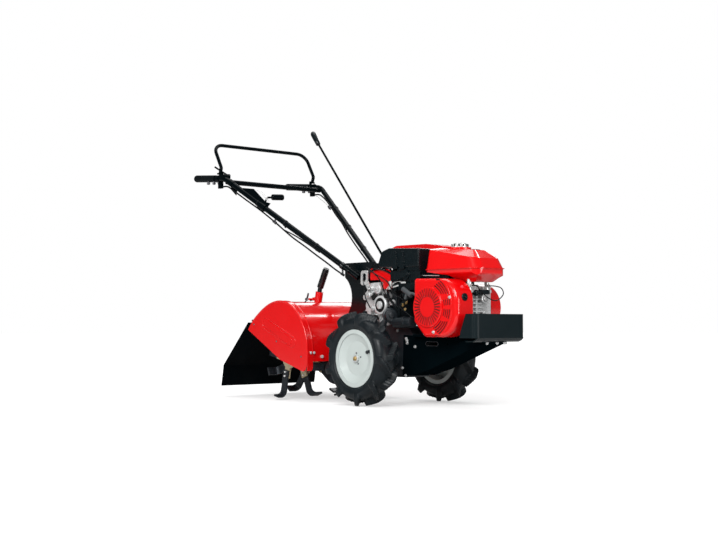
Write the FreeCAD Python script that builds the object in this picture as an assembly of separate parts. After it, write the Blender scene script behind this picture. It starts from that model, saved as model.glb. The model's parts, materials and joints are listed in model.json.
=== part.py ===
import FreeCAD, Part
import math
import os

# Rear-tine tiller: two driven wheels carry a frame with a single-cylinder engine in
# front, a gearbox over the axle and a hooded reel of L-shaped tines behind.
# Millimetres. +X points forward, +Y to the machine's left, +Z up, the ground is z = 0.
# Every place below is measured from the point on the ground under the wheel axle. When
# a piece is written, it is moved by axle_x, so that the finished model has its origin
# under the middle of its overall length.

V = FreeCAD.Vector

# ---------------------------------------------------------------- driving dimensions
front_reach = 546.0         # bumper face, ahead of the axle
rear_reach = 1150.0         # ends of the handlebar grips, behind the axle
axle_x = (rear_reach - front_reach) / 2

fit = 0.3                   # gap between a shaft or pin and its bore
cord_share = 0.45           # part of a cable's run that each of its bends takes up

# Wheels: 3.50-8 tractor-tread tyres on pressed rims with an 8 inch bead seat
tyre_od = 380.0
tyre_width = 100.0
tyre_wall = 8.0
track = 454.0
bead_od = 203.0
rim_flange_od = 230.0
rim_width = 72.0
rim_sheet = 3.0
disc_set = 24.0             # how far the wheel disc lies outside the tyre's centre plane
lug_count = 9               # on each side of the tread
lug_height = 22.0
lug_width = 29.0
lug_past = 5.0              # how far a lug runs past the tread's middle
lug_slant = 19.0            # degrees of wheel turn from the lug's inner to its outer end
hub_od = 46.0
hub_plate_od = 92.0
hub_end_d = 24.0
axle_d = 25.0
axle_housing_od = 50.0
axle_gap = 8.0              # from the axle housing's end to the hub

# Gearbox: lower casting around the axle, upper casting with the gear change
case_half = 57.0
case_low = 112.0
case_top = 320.0
case_rear = -135.0
case_front = 128.0
head_half = 52.0
head_rear = -160.0
head_front = 20.0
head_top = 496.0

# Frame: two side plates that run forward from the gearbox
plate_t = 5.0
engine_base = 285.0
plate_top_rear = (72.0, engine_base - 2)
plate_top_front = (front_reach - 150.0, engine_base - 23)
plate_tip = (front_reach - 46.0, engine_base - 35)
plate_knee = (221.0, 147.0)
plate_low_rear = (122.0, 120.0)
plate_back = (65.0, 118.0)
apron_t = 3.0               # sheet under the engine between the side plates

# Engine: crankshaft along Y, fan at the right, belt drive at the left
crank_x = 306.0
crank_z = engine_base + 107
bed_half = 84.0
crankcase_rear = 232.0
crankcase_front = 404.0
crankcase_top = engine_base + 189
crankcase_right = -64.0
crankcase_left = 96.0
rib_reach = 26.0            # the ribbed front wall, ahead of the block
rib_count = 5
ledge_top = crankcase_top - 16           # seat of the tank's front posts
cylinder_tilt = 25.0        # degrees above the horizontal, rearward
cylinder_reach = 188.0      # crank centre to the end of the rocker cover
cylinder_size = 104.0
fin_first = 108.0           # first fin, from the crank centre
fin_count = 8
fin_t = 3.0
fan_cover_face = -150.0
fan_cover_rear = 84.0       # reaches of the fan cover from the crank
fan_cover_front = 156.0
fan_cover_top = 113.0
fan_cover_round = 88.0      # radius of its two front corners
fan_cover_low = 9.0         # its lower edge, below the engine's base
fan_cover_edge = 14.0       # rounding between its face and its wall
fan_ring_od = 158.0
fan_ring_step = 6.0
fan_slot_count = 32
fan_slot_inner = 39.0
fan_slot_width = 4.4
louvre_first = 88.0         # radius of the first row of slots around the starter
louvre_pitch = 10.0
louvre_width = 5.0
louvre_row_count = 4
louvre_sector_degrees = (   # start, stop and the step from row to row
    (34.0, 67.0, -3.5), (3.0, 17.0, 0.0), (-23.0, -5.0, 0.0), (-70.0, -37.0, 3.0))
cover_sheet = 2.0
belt_cover_r = 92.0
belt_cover_right = 104.0
belt_cover_left = 160.0
drum_x = -40.0              # driven pulley on the gearbox
drum_z = crank_z + 8
drum_cover_r = 76.0

# Fuel tank over the crankcase
tank_half = 87.0
tank_seam = crankcase_top + 66
tank_front = 500.0
tank_rear = 220.0
tank_top = tank_seam + 85
tank_belly = tank_seam - 50
post_half = 48.0
cap_d = 68.0
cap_x = 331.0

# Air cleaner and silencer over the cylinder
cleaner_rear = -36.0
cleaner_front = 206.0
cleaner_right = -106.0
cleaner_left = 24.0
cleaner_low = crankcase_top + 82
cleaner_top = cleaner_low + 78
muffler_left = 152.0
guard_rear = -106.0
guard_top = cleaner_top + 23
shroud_front = 350.0

# Bumper in front
bumper_half = 138.0
bumper_top = 365.0
bumper_low = 274.0
lip_low = 259.0             # underside of the bumper's inturned lower lip
bumper_t = 4.0
bumper_bend = 22.0
wing_rear = front_reach - 84.0

# Tine reel and its hood
reel_x = -500.0
reel_z = 177.0
reel_reach = 168.0          # shaft centre to the tines' tips
reel_shaft_d = 30.0
reel_half = 232.0
tine_width = 34.0
tine_t = 8.0
tine_bend = 26.0
tine_stations = (80.0, 144.0, 206.0)
tine_feet = ((42.0, 58.0), (58.0, 58.0), (58.0, 42.0))    # bent ends inwards and outwards
tine_turns = (125.0, 159.0, 101.0)
holder_reach = 84.0        # shaft centre to the ends of a holder's four arms
holder_arm = 34.0
holder_od = 84.0
tine_root = 50.0            # shaft centre to a tine's bolted end
holder_t = 7.0
chain_half = 26.0
chain_end_r = 58.0
hood_half = 262.0
hood_t = 2.5
band_width = 34.0           # stiffening band round each end of the hood
band_t = 3.0
stay_t = 4.0
depth_foot = V(reel_x - 49, 0, reel_z + 293)     # lower end of the depth lever

# Rear flap on the hood
flap_hinge = (reel_x - 208, reel_z + 165)
flap_half = 268.0
flap_t = 4.0
flap_knee = (flap_hinge[0] - 200, flap_hinge[1] - 202)
flap_low = (flap_hinge[0] - 217, flap_hinge[1] - 295)
flap_pin_d = 8.0
flap_gap = 14.0             # from the pin's centre to the sheet's top edge
knuckle_od = 16.0
knuckle_half = 25.0
knuckle_places = (-180.0, 0.0, 180.0)
ear_places = (-222.0, -105.0, 105.0, 222.0)

# Handle column, handlebar and controls
column_half = 50.0
column_t = 4.0
column_front = -116.0
column_top = 587.0
column_waist = (-370.0, 440.0, 104.0)     # centre and radius of its hollow rear edge
pivot = (-236.0, 549.0)
pivot_d = 12.0
handle_tube = 25.0
tube_wall = 2.0
handle_half = 266.0         # from the centre plane to each grip
bend_half = handle_half + 12
bail_half = handle_half + 3
rear_run = 262.0            # length of the handlebar's rear run
handle_foot = (-196.0, 72.0, 522.0)
handle_bend = (rear_run - rear_reach, bend_half, 986.0)
grip_end = (-rear_reach, handle_half, 1010.0)
handle_bend_r = 90.0
cross_bar_d = 22.0
cross_drop = 14.0           # cross bar's centre, below the bend
grip_length = 180.0
grip_d = 33.0
grip_cap = 8.0              # closed end of the grip, behind the tube
bail_rod = 16.0
bail_foot = (handle_bend[0] - 56.0, 1014.0)
bail_knee = (handle_bend[0] - 46.0, 1042.0)
bail_top = (handle_bend[0] - 113.0, 1156.0)
bail_knee_r = 16.0
bail_corner_r = 50.0
bail_pin_d = 8.0
clamp_width = 24.0
hand_lever_rod = 9.0
hand_lever_grip = 27.0

# Control cables: under the handlebar's tubes, from the lugs under the bail's clamps to
# the ferrules near the pivot. For each point: its share of the way from the tube's bend
# down to its foot, and its place beside and below the tube's centre line.
cable_d = 7.0
cable_places = (
    (0.081, 1.0, 25.0), (0.173, 3.0, 24.5), (0.266, -2.0, 25.0), (0.358, 3.0, 25.0), (0.442, 0.0, 33.0),
    (0.529, 3.0, 38.0), (0.616, 1.0, 36.5), (0.699, 4.0, 36.5), (0.775, 2.0, 36.5), (0.838, 1.0, 39.0),
    (0.884, 4.0, 35.5))
cable_drop = 33.0           # the cables' upper ends, below the tubes' bends
cable_lugs = (40.0, 4.0)    # their end and their first bend, behind and ahead of the tubes' bends
ferrule_d = 11.0
ferrule_length = 16.0
lead_d = 4.0
lead_places = (             # from the crankcase's front, the centre plane and the posts' terminals
    (38.0, -48.0, 0.0), (62.0, -48.0, 0.0), (76.0, -34.0, -26.0), (82.0, -6.0, -48.0),
    (84.0, 30.0, -60.0), (82.0, 60.0, -51.0), (82.0, 84.0, -30.0), (72.0, 80.0, -6.0),
    (62.0, 48.0, 0.0), (38.0, 48.0, 0.0))
shift_foot = (-31.0, 500.0)
shift_end = (-605.0, 1190.0)
shift_rod = 10.0
shift_knob = 20.0
shift_knob_length = 74.0

axle_z = tyre_od / 2
wheel_y = track / 2


# ---------------------------------------------------------------- helpers
def put(name, shape):
    """Write one piece, moved so that the model's origin is under its middle."""
    placed = shape.copy()
    placed.translate(V(axle_x, 0, 0))
    placed.exportStep("parts/" + name + ".step")


def box(x0, x1, y0, y1, z0, z1):
    return Part.makeBox(x1 - x0, y1 - y0, z1 - z0, V(x0, y0, z0))


def rod_y(x, z, d, y0, y1):
    """Round bar across the machine."""
    return Part.makeCylinder(d / 2, y1 - y0, V(x, y0, z), V(0, 1, 0))


def rod_x(y, z, d, x0, x1):
    return Part.makeCylinder(d / 2, x1 - x0, V(x0, y, z), V(1, 0, 0))


def rod_z(x, y, d, z0, z1):
    return Part.makeCylinder(d / 2, z1 - z0, V(x, y, z0), V(0, 0, 1))


def bar(a, b, d):
    """Round bar between two points."""
    return Part.makeCylinder(d / 2, (b - a).Length, a, b - a)


def side_face(points, y):
    """Flat face across the machine's width direction from its (x, z) corners."""
    corners = [V(x, y, z) for x, z in points]
    return Part.Face(Part.makePolygon(corners + corners[:1]))


def side_plate(points, y0, y1):
    """Plate that stands lengthwise, from its (x, z) corners."""
    return side_face(points, y0).extrude(V(0, y1 - y0, 0))


def offset_line(points, gap):
    """The open line of (x, z) points, moved sideways by gap to its left."""
    moved = []
    count = len(points)
    for i, (x, z) in enumerate(points):
        normals = []
        for a, b in ((i - 1, i), (i, i + 1)):
            if a >= 0 and b < count:
                dx = points[b][0] - points[a][0]
                dz = points[b][1] - points[a][1]
                length = math.hypot(dx, dz)
                normals.append((-dz / length, dx / length))
        nx = sum(n[0] for n in normals)
        nz = sum(n[1] for n in normals)
        scale = gap * len(normals) / (nx * nx + nz * nz)
        if len(normals) == 2:
            scale = 2 * gap / (nx * nx + nz * nz)
        moved.append((x + nx * scale, z + nz * scale))
    return moved


def bent_sheet(points, thickness, y0, y1):
    """Sheet bent along an open line of (x, z) points, thickened to the line's left."""
    return side_plate(points + offset_line(points, thickness)[::-1], y0, y1)


def arc_points(cx, cz, r, start, end, steps):
    """Points on an arc, angles in degrees from +X towards +Z."""
    points = []
    for i in range(steps + 1):
        a = math.radians(start + (end - start) * i / steps)
        points.append((cx + r * math.cos(a), cz + r * math.sin(a)))
    return points


def spin(points, x, z, y=0.0):
    """Solid of revolution about the cross axis at (x, z), from (y, radius) corners."""
    corners = [V(x, y + across, z + r) for across, r in points]
    face = Part.Face(Part.makePolygon(corners + corners[:1]))
    return face.revolve(V(x, y, z), V(0, 1, 0), 360)


def rounded_face(points, radii, y):
    """Lengthwise face from its (x, z) corners, each rounded by its own radius."""
    corners = [V(x, y, z) for x, z in points]
    count = len(corners)
    stops = []
    for i, corner in enumerate(corners):
        back = (corners[i - 1] - corner).normalize()
        ahead = (corners[(i + 1) % count] - corner).normalize()
        half = back.getAngle(ahead) / 2
        reach = radii[i] / math.tan(half)
        centre = corner + (back + ahead).normalize() * (radii[i] / math.sin(half))
        middle = centre + (corner - centre).normalize() * radii[i] if radii[i] else corner
        stops.append((corner + back * reach, middle, corner + ahead * reach))
    edges = []
    for i, (enter, middle, leave) in enumerate(stops):
        if radii[i]:
            edges.append(Part.Arc(enter, middle, leave).toShape())
        edges.append(Part.LineSegment(leave, stops[(i + 1) % count][0]).toShape())
    return Part.Face(Part.Wire(edges))


def rounded_plate(points, radii, y0, y1):
    return rounded_face(points, radii, y0).extrude(V(0, y1 - y0, 0))


def section_plate(corners, radii, x0, x1):
    """Solid along the machine from the rounded (y, z) corners of its front view."""
    face = rounded_face(corners, radii, 0)
    face.rotate(V(0, 0, 0), V(0, 0, 1), 90)
    face.translate(V(x0, 0, 0))
    return face.extrude(V(x1 - x0, 0, 0))


def edges_at(shape, y):
    """The edges that lie in the lengthwise plane at y."""
    return [e for e in shape.Edges if abs(e.BoundBox.YMin - y) < 0.01 and abs(e.BoundBox.YMax - y) < 0.01]


def smooth_line(points, y):
    """Smooth curve through (x, z) points."""
    curve = Part.BSplineCurve()
    curve.interpolate([V(x, y, z) for x, z in points])
    return curve.toShape()


def curved_face(points, closing, y):
    """Side view bounded by a smooth curve through points and straight lines via closing."""
    corners = [V(x, y, z) for x, z in [points[-1]] + closing + [points[0]]]
    edges = [smooth_line(points, y)] + Part.makePolygon(corners).Edges
    return Part.Face(Part.Wire(Part.sortEdges(edges)[0]))


def curved_sheet(points, thickness, y0, y1):
    """Sheet along a smooth line of (x, z) points, thickened to the line's left."""
    other = offset_line(points, thickness)
    ends = [Part.LineSegment(V(a[0], y0, a[1]), V(b[0], y0, b[1])).toShape()
            for a, b in ((points[0], other[0]), (points[-1], other[-1]))]
    edges = [smooth_line(points, y0), smooth_line(other, y0)] + ends
    return Part.Face(Part.Wire(Part.sortEdges(edges)[0])).extrude(V(0, y1 - y0, 0))


def path(points, radii):
    """Wire of straight runs joined by tangent arcs, of one radius or one for each corner."""
    if not isinstance(radii, (list, tuple)):
        radii = [radii] * (len(points) - 2)
    edges = []
    start = points[0]
    for before, corner, after, radius in zip(points, points[1:], points[2:], radii):
        back = (before - corner).normalize()
        ahead = (after - corner).normalize()
        half = back.getAngle(ahead) / 2
        reach = radius / math.tan(half)
        enter = corner + back * reach
        leave = corner + ahead * reach
        centre = corner + (back + ahead).normalize() * (radius / math.sin(half))
        middle = centre + (corner - centre).normalize() * radius
        edges.append(Part.LineSegment(start, enter).toShape())
        edges.append(Part.Arc(enter, middle, leave).toShape())
        start = leave
    edges.append(Part.LineSegment(start, points[-1]).toShape())
    return Part.Wire(edges)


def round_pipe(points, radius, d):
    """Round bar along a path."""
    wire = path(points, radius)
    circle = Part.Circle(points[0], points[1] - points[0], d / 2).toShape()
    return wire.makePipeShell([Part.Wire([circle])], True, False)


def tube(points, radius, d, wall):
    """Hollow tube along a path."""
    return round_pipe(points, radius, d).cut(round_pipe(points, radius, d - 2 * wall))


def cord(points, d):
    """Cable through its points, each arc as wide as the runs beside it allow."""
    corners = [V(*p) for p in points]
    radii = []
    for before, corner, after in zip(corners, corners[1:], corners[2:]):
        turn = (corner - before).getAngle(after - corner)
        run = min((corner - before).Length, (after - corner).Length)
        radii.append(cord_share * run / math.tan(turn / 2))
    print("cord", d, "smallest bend radius", round(min(radii), 1))
    return round_pipe(corners, radii, d)


def fused(shapes):
    return shapes[0].fuse(shapes[1:]).removeSplitter()


def mirrored(shape):
    """The same piece on the machine's other side."""
    return shape.mirror(V(0, 0, 0), V(0, 1, 0))


def hull_of_two(x0, z0, r0, x1, z1, r1, y0, y1):
    """Rounded link: two discs and the straight belt line around them."""
    span = math.hypot(x1 - x0, z1 - z0)
    along = math.atan2(z1 - z0, x1 - x0)
    lean = math.acos((r0 - r1) / span)
    corners = []
    for x, z, r, sign in ((x0, z0, r0, 1), (x1, z1, r1, 1), (x1, z1, r1, -1), (x0, z0, r0, -1)):
        a = along + sign * lean
        corners.append((x + r * math.cos(a), z + r * math.sin(a)))
    link = side_plate(corners, y0, y1)
    return fused([link, rod_y(x0, z0, 2 * r0, y0, y1), rod_y(x1, z1, 2 * r1, y0, y1)])


# ---------------------------------------------------------------- wheels
def tyre_carcass(y):
    """Hollow tyre: two beads on the rim and a rounded crown, without its lugs."""
    crown = tyre_od / 2 - lug_height
    bead = bead_od / 2
    seat = rim_width / 2 - rim_sheet
    side = tyre_width / 2

    def section(shrink):
        inner = seat - shrink
        belly = side - shrink
        top = crown - shrink
        foot = rim_flange_od / 2 + 1
        mid = (foot + top) / 2 - 4
        a = V(0, y + inner, axle_z + bead)
        b = V(0, y + inner, axle_z + foot)
        c = V(0, y + belly, axle_z + mid)
        d = V(0, y + belly - 8, axle_z + top - 9)
        e = V(0, y, axle_z + top)
        edges = [Part.LineSegment(a, b).toShape()]
        edges.append(Part.Arc(b, (b + c) / 2 + V(0, 3, -3), c).toShape())
        edges.append(Part.Arc(c, V(0, y + belly - 1.5, axle_z + (mid + top - 9) / 2 + 2), d).toShape())
        edges.append(Part.Arc(d, V(0, y + belly * 0.45, axle_z + top - 1.8), e).toShape())
        half = Part.Wire(edges)
        other = half.mirror(V(0, y, 0), V(0, 1, 0))
        floor = Part.LineSegment(V(0, y - inner, axle_z + bead), a).toShape()
        return Part.Face(Part.Wire(Part.sortEdges(half.Edges + other.Edges + [floor])[0]))

    wall = section(0).cut(section(tyre_wall))
    return wall.Faces[0].revolve(V(0, y, axle_z), V(0, 1, 0), 360)


def tread_lugs(y):
    """Slanted bars in two rows that meet at the tread's middle, one row half a step on."""
    r = tyre_od / 2
    side = tyre_width / 2
    root = r - lug_height - 14
    step = 360.0 / lug_count
    rim = [(-side, root), (-side, r - 16), (-side + 16, r - 3), (0, r),
           (side - 16, r - 3), (side, r - 16), (side, root)]
    envelope = spin(rim, 0, axle_z, y)
    sweep = r * math.radians(lug_slant)
    bars = []
    for sign in (1, -1):
        for k in range(lug_count):
            w = lug_width / 2
            middle_y = y - sign * lug_past
            outline = [V(sweep / 2 + w, middle_y, axle_z + root), V(sweep / 2 - w, middle_y, axle_z + root),
                       V(-sweep / 2 - w, y + sign * side, axle_z + root),
                       V(-sweep / 2 + w, y + sign * side, axle_z + root)]
            face = Part.Face(Part.makePolygon(outline + outline[:1]))
            lug = face.extrude(V(0, 0, lug_height + 20))
            lug.rotate(V(0, y, axle_z), V(0, 1, 0), step * (k + (0.5 if sign < 0 else 0)))
            bars.append(lug.common(envelope))
    return bars


def tyre(sign):
    y = sign * wheel_y
    return fused([tyre_carcass(y)] + tread_lugs(y))


def rim(sign):
    """Barrel, two flanges and a dished disc."""
    seat = bead_od / 2
    edge = rim_flange_od / 2
    half = rim_width / 2
    out = sign
    profile = [(-half, edge), (-half + rim_sheet, edge), (-half + rim_sheet, seat),
               (half - rim_sheet, seat), (half - rim_sheet, edge), (half, edge),
               (half, seat - rim_sheet), (disc_set + 8, seat - rim_sheet),
               (disc_set - 4, seat - 34), (disc_set - 4, hub_od / 2 + fit),
               (disc_set - 4 - rim_sheet, hub_od / 2 + fit), (disc_set - 4 - rim_sheet, seat - 33),
               (disc_set + 5, seat - rim_sheet), (-half, seat - rim_sheet)]
    return spin([(out * a, r) for a, r in profile], 0, axle_z, sign * wheel_y)


def hub(sign):
    """Half shaft with its hub sleeve and the flange that the wheel disc is bolted to."""
    inner = -rim_width / 2 - 2
    disc = disc_set - 4 - rim_sheet
    face = disc_set - 4
    shaft_start = case_half + 4 - wheel_y
    profile = [(shaft_start, 0), (shaft_start, axle_d / 2), (inner, axle_d / 2), (inner, hub_od / 2),
               (disc - 6, hub_od / 2), (disc - 6, hub_plate_od / 2), (disc, hub_plate_od / 2),
               (disc, hub_od / 2), (face, hub_od / 2), (face, hub_end_d / 2), (face + 8, hub_end_d / 2),
               (face + 8, 0)]
    return spin([(sign * a, r) for a, r in profile], 0, axle_z, sign * wheel_y)


def axle_housings():
    """Flanged tubes from the gearbox's sides out to the hubs."""
    end = wheel_y - rim_width / 2 - 2 - axle_gap
    bore = axle_d + 2 * fit
    flange = 46.0
    flange_t = 10.0
    profile = [(case_half, bore / 2), (case_half, flange), (case_half + flange_t, flange),
               (case_half + flange_t + 6, axle_housing_od / 2), (end, axle_housing_od / 2), (end, bore / 2)]
    return Part.makeCompound([spin([(sign * a, r) for a, r in profile], 0, axle_z) for sign in (1, -1)])


# ---------------------------------------------------------------- gearbox and frame
def gearbox_case():
    """Lower casting around the axle, with the seat of the rear chain case."""
    outline = [(case_rear, 150), (case_rear + 40, case_low), (case_front - 40, case_low),
               (case_front, 150), (case_front, case_top - 50), (case_front - 30, case_top),
               (case_rear, case_top)]
    body = rounded_plate(outline, [20, 14, 14, 20, 10, 12, 0], -case_half, case_half)
    barrel = rod_x(-case_half - 27, 333, 44, 45, 150)
    saddle = box(50, case_front - 4, -case_half - 18, -case_half, 318, 348)
    stud = rod_x(-case_half - 27, 333, 20, 30, 45)
    return fused([body, barrel, saddle, stud])


def gear_head():
    """Upper casting with the gear change."""
    outline = [(head_rear, case_top), (head_front, case_top), (head_front, 440),
               (head_front - 30, head_top), (head_rear + 50, head_top), (head_rear, 440)]
    return rounded_plate(outline, [0, 0, 12, 16, 16, 12], -head_half, head_half)


def head_cover():
    """Cast side cover with the shift arm's boss, two lobes, ribs and the brake's round mouth."""
    y = -head_half
    lobes = [(-104, 474, 22, -56, 484, 14, 30), (-106, 470, 20, -126, 404, 24, 20),
             (-104, 474, 13, -148, 438, 12, 26), (-60, 478, 14, -24, 440, 16, 16),
             (-84, 372, 30, -16, 341, 20, 18), (-126, 404, 20, -150, 372, 12, 14)]
    pieces = [hull_of_two(x0, z0, r0, x1, z1, r1, y - depth, y) for x0, z0, r0, x1, z1, r1, depth in lobes]
    pieces.append(rod_y(-104, 474, 30, y - 36, y))
    pieces.append(rod_y(-84, 372, 76, y - 26, y))
    for i in range(3):
        pieces.append(box(-70 + i * 20, -64 + i * 20, y - 24, y, 398, 452 - i * 10))
    cover = fused(pieces)
    return cover.cut(rod_y(-84, 372, 54, y - 27, y - 8)).cut(rod_y(-104, 474, 12, y - 37, y - 26))


def link_plate():
    """Slotted control link that stands outside the upper casting's side cover."""
    y = -head_half - 38
    frame = rounded_plate([(-158, 488), (-114, 488), (-112, 549), (-156, 549)], [12, 8, 8, 12], y - 4, y)
    slot = rounded_plate([(-147, 502), (-125, 502), (-124, 537), (-146, 537)], [8, 8, 8, 8], y - 5, y + 1)
    lug = rod_y(-104, 474, 24, y - 4, y + 2)
    arm = hull_of_two(-122, 500, 10, -104, 474, 12, y - 4, y)
    return fused([frame.cut(slot), lug, arm])


def cable_bracket():
    """Bent red plate on the upper casting that holds the control cables' ends."""
    y = -head_half - 30
    sheet = rounded_plate([(-106, 508), (-50, 508), (-36, 500), (16, 500), (18, 542), (4, 550), (-106, 556)],
                          [6, 8, 8, 6, 8, 8, 6], y - 3, y)
    foot = box(-30, 4, y, -head_half, 470, 512)
    return fused([sheet, foot]).cut(gear_head()).cut(head_cover())


def chain_case():
    """Arm from the gearbox back to the tine shaft."""
    arm = hull_of_two(reel_x, reel_z, chain_end_r, case_rear - 2, 232, 74, -chain_half, chain_half)
    keep = box(reel_x - 80, case_rear, -60, 60, 60, 400)
    return arm.common(keep).cut(rod_y(reel_x, reel_z, reel_shaft_d + 2 * fit, -60, 60))


def frame_plates():
    """The two side plates, each with an oval slot and an accessory hole."""
    outline = [plate_back, plate_top_rear, plate_top_front, plate_tip, plate_knee, plate_low_rear]
    inner = case_half
    plate = side_plate(outline, inner, inner + plate_t)
    slot = rounded_plate([(202, 241), (270, 241), (270, 257), (202, 257)], [7] * 4, inner, inner + plate_t)
    hole = rod_y(322, 250, 7, inner, inner + plate_t)
    plate = plate.cut(slot).cut(hole)
    return Part.makeCompound([plate, mirrored(plate)])


def frame_apron():
    """Sheet that closes the frame's sloping underside, from the gearbox to the tips."""
    sheet = bent_sheet([plate_tip, plate_knee, plate_low_rear], -apron_t, -case_half, case_half)
    return sheet.cut(bumper_bracket())


def engine_bed():
    """Wedge plate that lies on both side plates and carries the engine level."""
    x0, z0 = plate_top_rear
    x1, z1 = plate_top_front
    start = 150.0
    z_start = z0 + (z1 - z0) * (start - x0) / (x1 - x0)
    outline = [(start, z_start), (x1, z1), (x1, engine_base), (start, engine_base)]
    return side_plate(outline, -bed_half, bed_half)


def bumper():
    """Wrap-around guard bent from one sheet, with swept rear edges."""
    face = front_reach
    bend = bumper_bend

    def plan(shrink):
        f = face - shrink
        h = bumper_half - shrink
        b = bend - shrink
        corners = [V(wing_rear - 20, -h, 0), V(f - b, -h, 0), V(f, -h + b, 0),
                   V(f, h - b, 0), V(f - b, h, 0), V(wing_rear - 20, h, 0)]
        k = b * (1 - math.sqrt(0.5))
        edges = [Part.LineSegment(corners[0], corners[1]).toShape(),
                 Part.Arc(corners[1], V(f - k, -h + k, 0), corners[2]).toShape(),
                 Part.LineSegment(corners[2], corners[3]).toShape(),
                 Part.Arc(corners[3], V(f - k, h - k, 0), corners[4]).toShape(),
                 Part.LineSegment(corners[4], corners[5]).toShape(),
                 Part.LineSegment(corners[5], corners[0]).toShape()]
        return Part.Face(Part.Wire(edges))

    wall = plan(0).cut(plan(bumper_t))
    shell = wall.extrude(V(0, 0, bumper_top - bumper_low))
    shell.translate(V(0, 0, bumper_low))
    back = [(wing_rear - 40, bumper_low - 1), (wing_rear, bumper_low - 1), (wing_rear + 6, bumper_low + 24),
            (wing_rear + 34, bumper_top + 1), (wing_rear - 40, bumper_top + 1)]
    shell = shell.cut(side_plate(back, -bumper_half - 1, bumper_half + 1))
    lip_line = [(face, bumper_low), (face - 10, lip_low + 6), (face - 26, lip_low), (face - 62, lip_low)]
    lip = bent_sheet(lip_line, -bumper_t, -bumper_half + bend / 2, bumper_half - bend / 2)
    return fused([shell, lip])


def bumper_bracket():
    """Shelf between the side plates' tips and the bumper's lower lip."""
    x0, z0 = plate_top_front
    x1, z1 = plate_tip
    tip = front_reach - 28
    outline = [(x0 + 14, z0 - 14 * (z0 - z1) / (x1 - x0)), (x1, z1), (tip, z1), (tip, lip_low),
               (front_reach - 68, lip_low), (x0 + 14, lip_low + 7)]
    return side_plate(outline, -case_half - plate_t, case_half + plate_t)


# ---------------------------------------------------------------- engine
def along_cylinder(reach, lift=0.0):
    """Point on the cylinder's axis plane: reach from the crank, lift above the axis."""
    a = math.radians(cylinder_tilt)
    x = crank_x - reach * math.cos(a) - lift * math.sin(a) * -1
    z = crank_z + reach * math.sin(a) + lift * math.cos(a)
    return (x, z)


def tilted_block(r0, r1, half_height, y0, y1):
    corners = [along_cylinder(r0, -half_height), along_cylinder(r1, -half_height),
               along_cylinder(r1, half_height), along_cylinder(r0, half_height)]
    return side_plate(corners, y0, y1)


def crankcase():
    """Block at the engine's real size, with the ribbed wall and the ledge at its front."""
    block = box(crankcase_rear, crankcase_front, crankcase_right, crankcase_left, engine_base, crankcase_top)
    right = crankcase_right + 8
    left = 40.0
    low = 366.0
    pieces = [block, box(crankcase_front, crankcase_front + rib_reach / 2, right, left, low, ledge_top)]
    pitch = (ledge_top - 12 - low) / rib_count
    for i in range(rib_count):
        z = low + 6 + i * pitch
        pieces.append(box(crankcase_front, crankcase_front + rib_reach, right, left, z, z + 5))
    pieces.append(box(crankcase_front, crankcase_front + rib_reach, -12, -6, low, ledge_top))
    pieces.append(box(crankcase_front, crankcase_front + rib_reach + 12, -post_half - 12, post_half + 12,
                      ledge_top - 10, ledge_top))
    return fused(pieces)


def cylinder():
    """Finned barrel and head, with the rocker cover at its end."""
    half = cylinder_size / 2
    core = tilted_block(70, cylinder_reach - 34, half - 12, -34, 58)
    fins = []
    pitch = (cylinder_reach - 40 - fin_first) / (fin_count - 1)
    for i in range(fin_count):
        r = fin_first + i * pitch
        fins.append(tilted_block(r, r + fin_t, half, -46, 70))
    cover = tilted_block(cylinder_reach - 36, cylinder_reach, half - 20, -28, 52)
    whole = fused([core, cover] + fins)
    return whole.cut(box(crankcase_rear, crankcase_front, -90, 120, engine_base, crankcase_top))


def fan_cover_form(shrink=0.0):
    """The fan cover's outer form, filled, or its inside when shrunk by the sheet."""
    rear = crank_x - fan_cover_rear
    front = crank_x + fan_cover_front
    low = engine_base - fan_cover_low
    top = crank_z + fan_cover_top
    outline = [(rear, low + 60), (rear + 60, low), (front, low), (front, top - 7), (rear + 2, top)]
    face = rounded_face(outline, [18, 22, fan_cover_round, fan_cover_round, 10], fan_cover_face + shrink)
    if shrink:
        face = Part.Face(face.makeOffset2D(-shrink).OuterWire)
    body = face.extrude(V(0, crankcase_right - fan_cover_face, 0))
    return body.makeFillet(fan_cover_edge - shrink, edges_at(body, fan_cover_face + shrink))


def louvres():
    """Rows of curved slots around the starter, in the fan cover's face."""
    centre, axis = V(crank_x, 0, crank_z), V(0, 1, 0)
    half = louvre_width / 2
    slots = []
    for start, stop, step in louvre_sector_degrees:
        for i in range(louvre_row_count):
            r = crank_x + louvre_first + i * louvre_pitch
            corners = [V(r - half, fan_cover_face - 1, crank_z), V(r + half, fan_cover_face - 1, crank_z),
                       V(r + half, fan_cover_face + 5, crank_z), V(r - half, fan_cover_face + 5, crank_z)]
            face = Part.Face(Part.makePolygon(corners + corners[:1]))
            face.rotate(centre, axis, -start - i * step)
            slots.append(face.revolve(centre, axis, start - stop))
    return slots[0].fuse(slots[1:])


def fan_cover():
    """Drawn shell over the fan, open towards the engine, with the starter's round hole."""
    shell = fan_cover_form().cut(fan_cover_form(cover_sheet))
    bed = box(crank_x - fan_cover_rear, crank_x + fan_cover_front, -bed_half - 1, 0, 0, engine_base + 1)
    shell = shell.cut(bed)
    starter_hole = rod_y(crank_x, crank_z, fan_ring_od, fan_cover_face - 1, fan_cover_face + 14)
    return shell.cut(starter_hole).cut(louvres())


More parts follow.
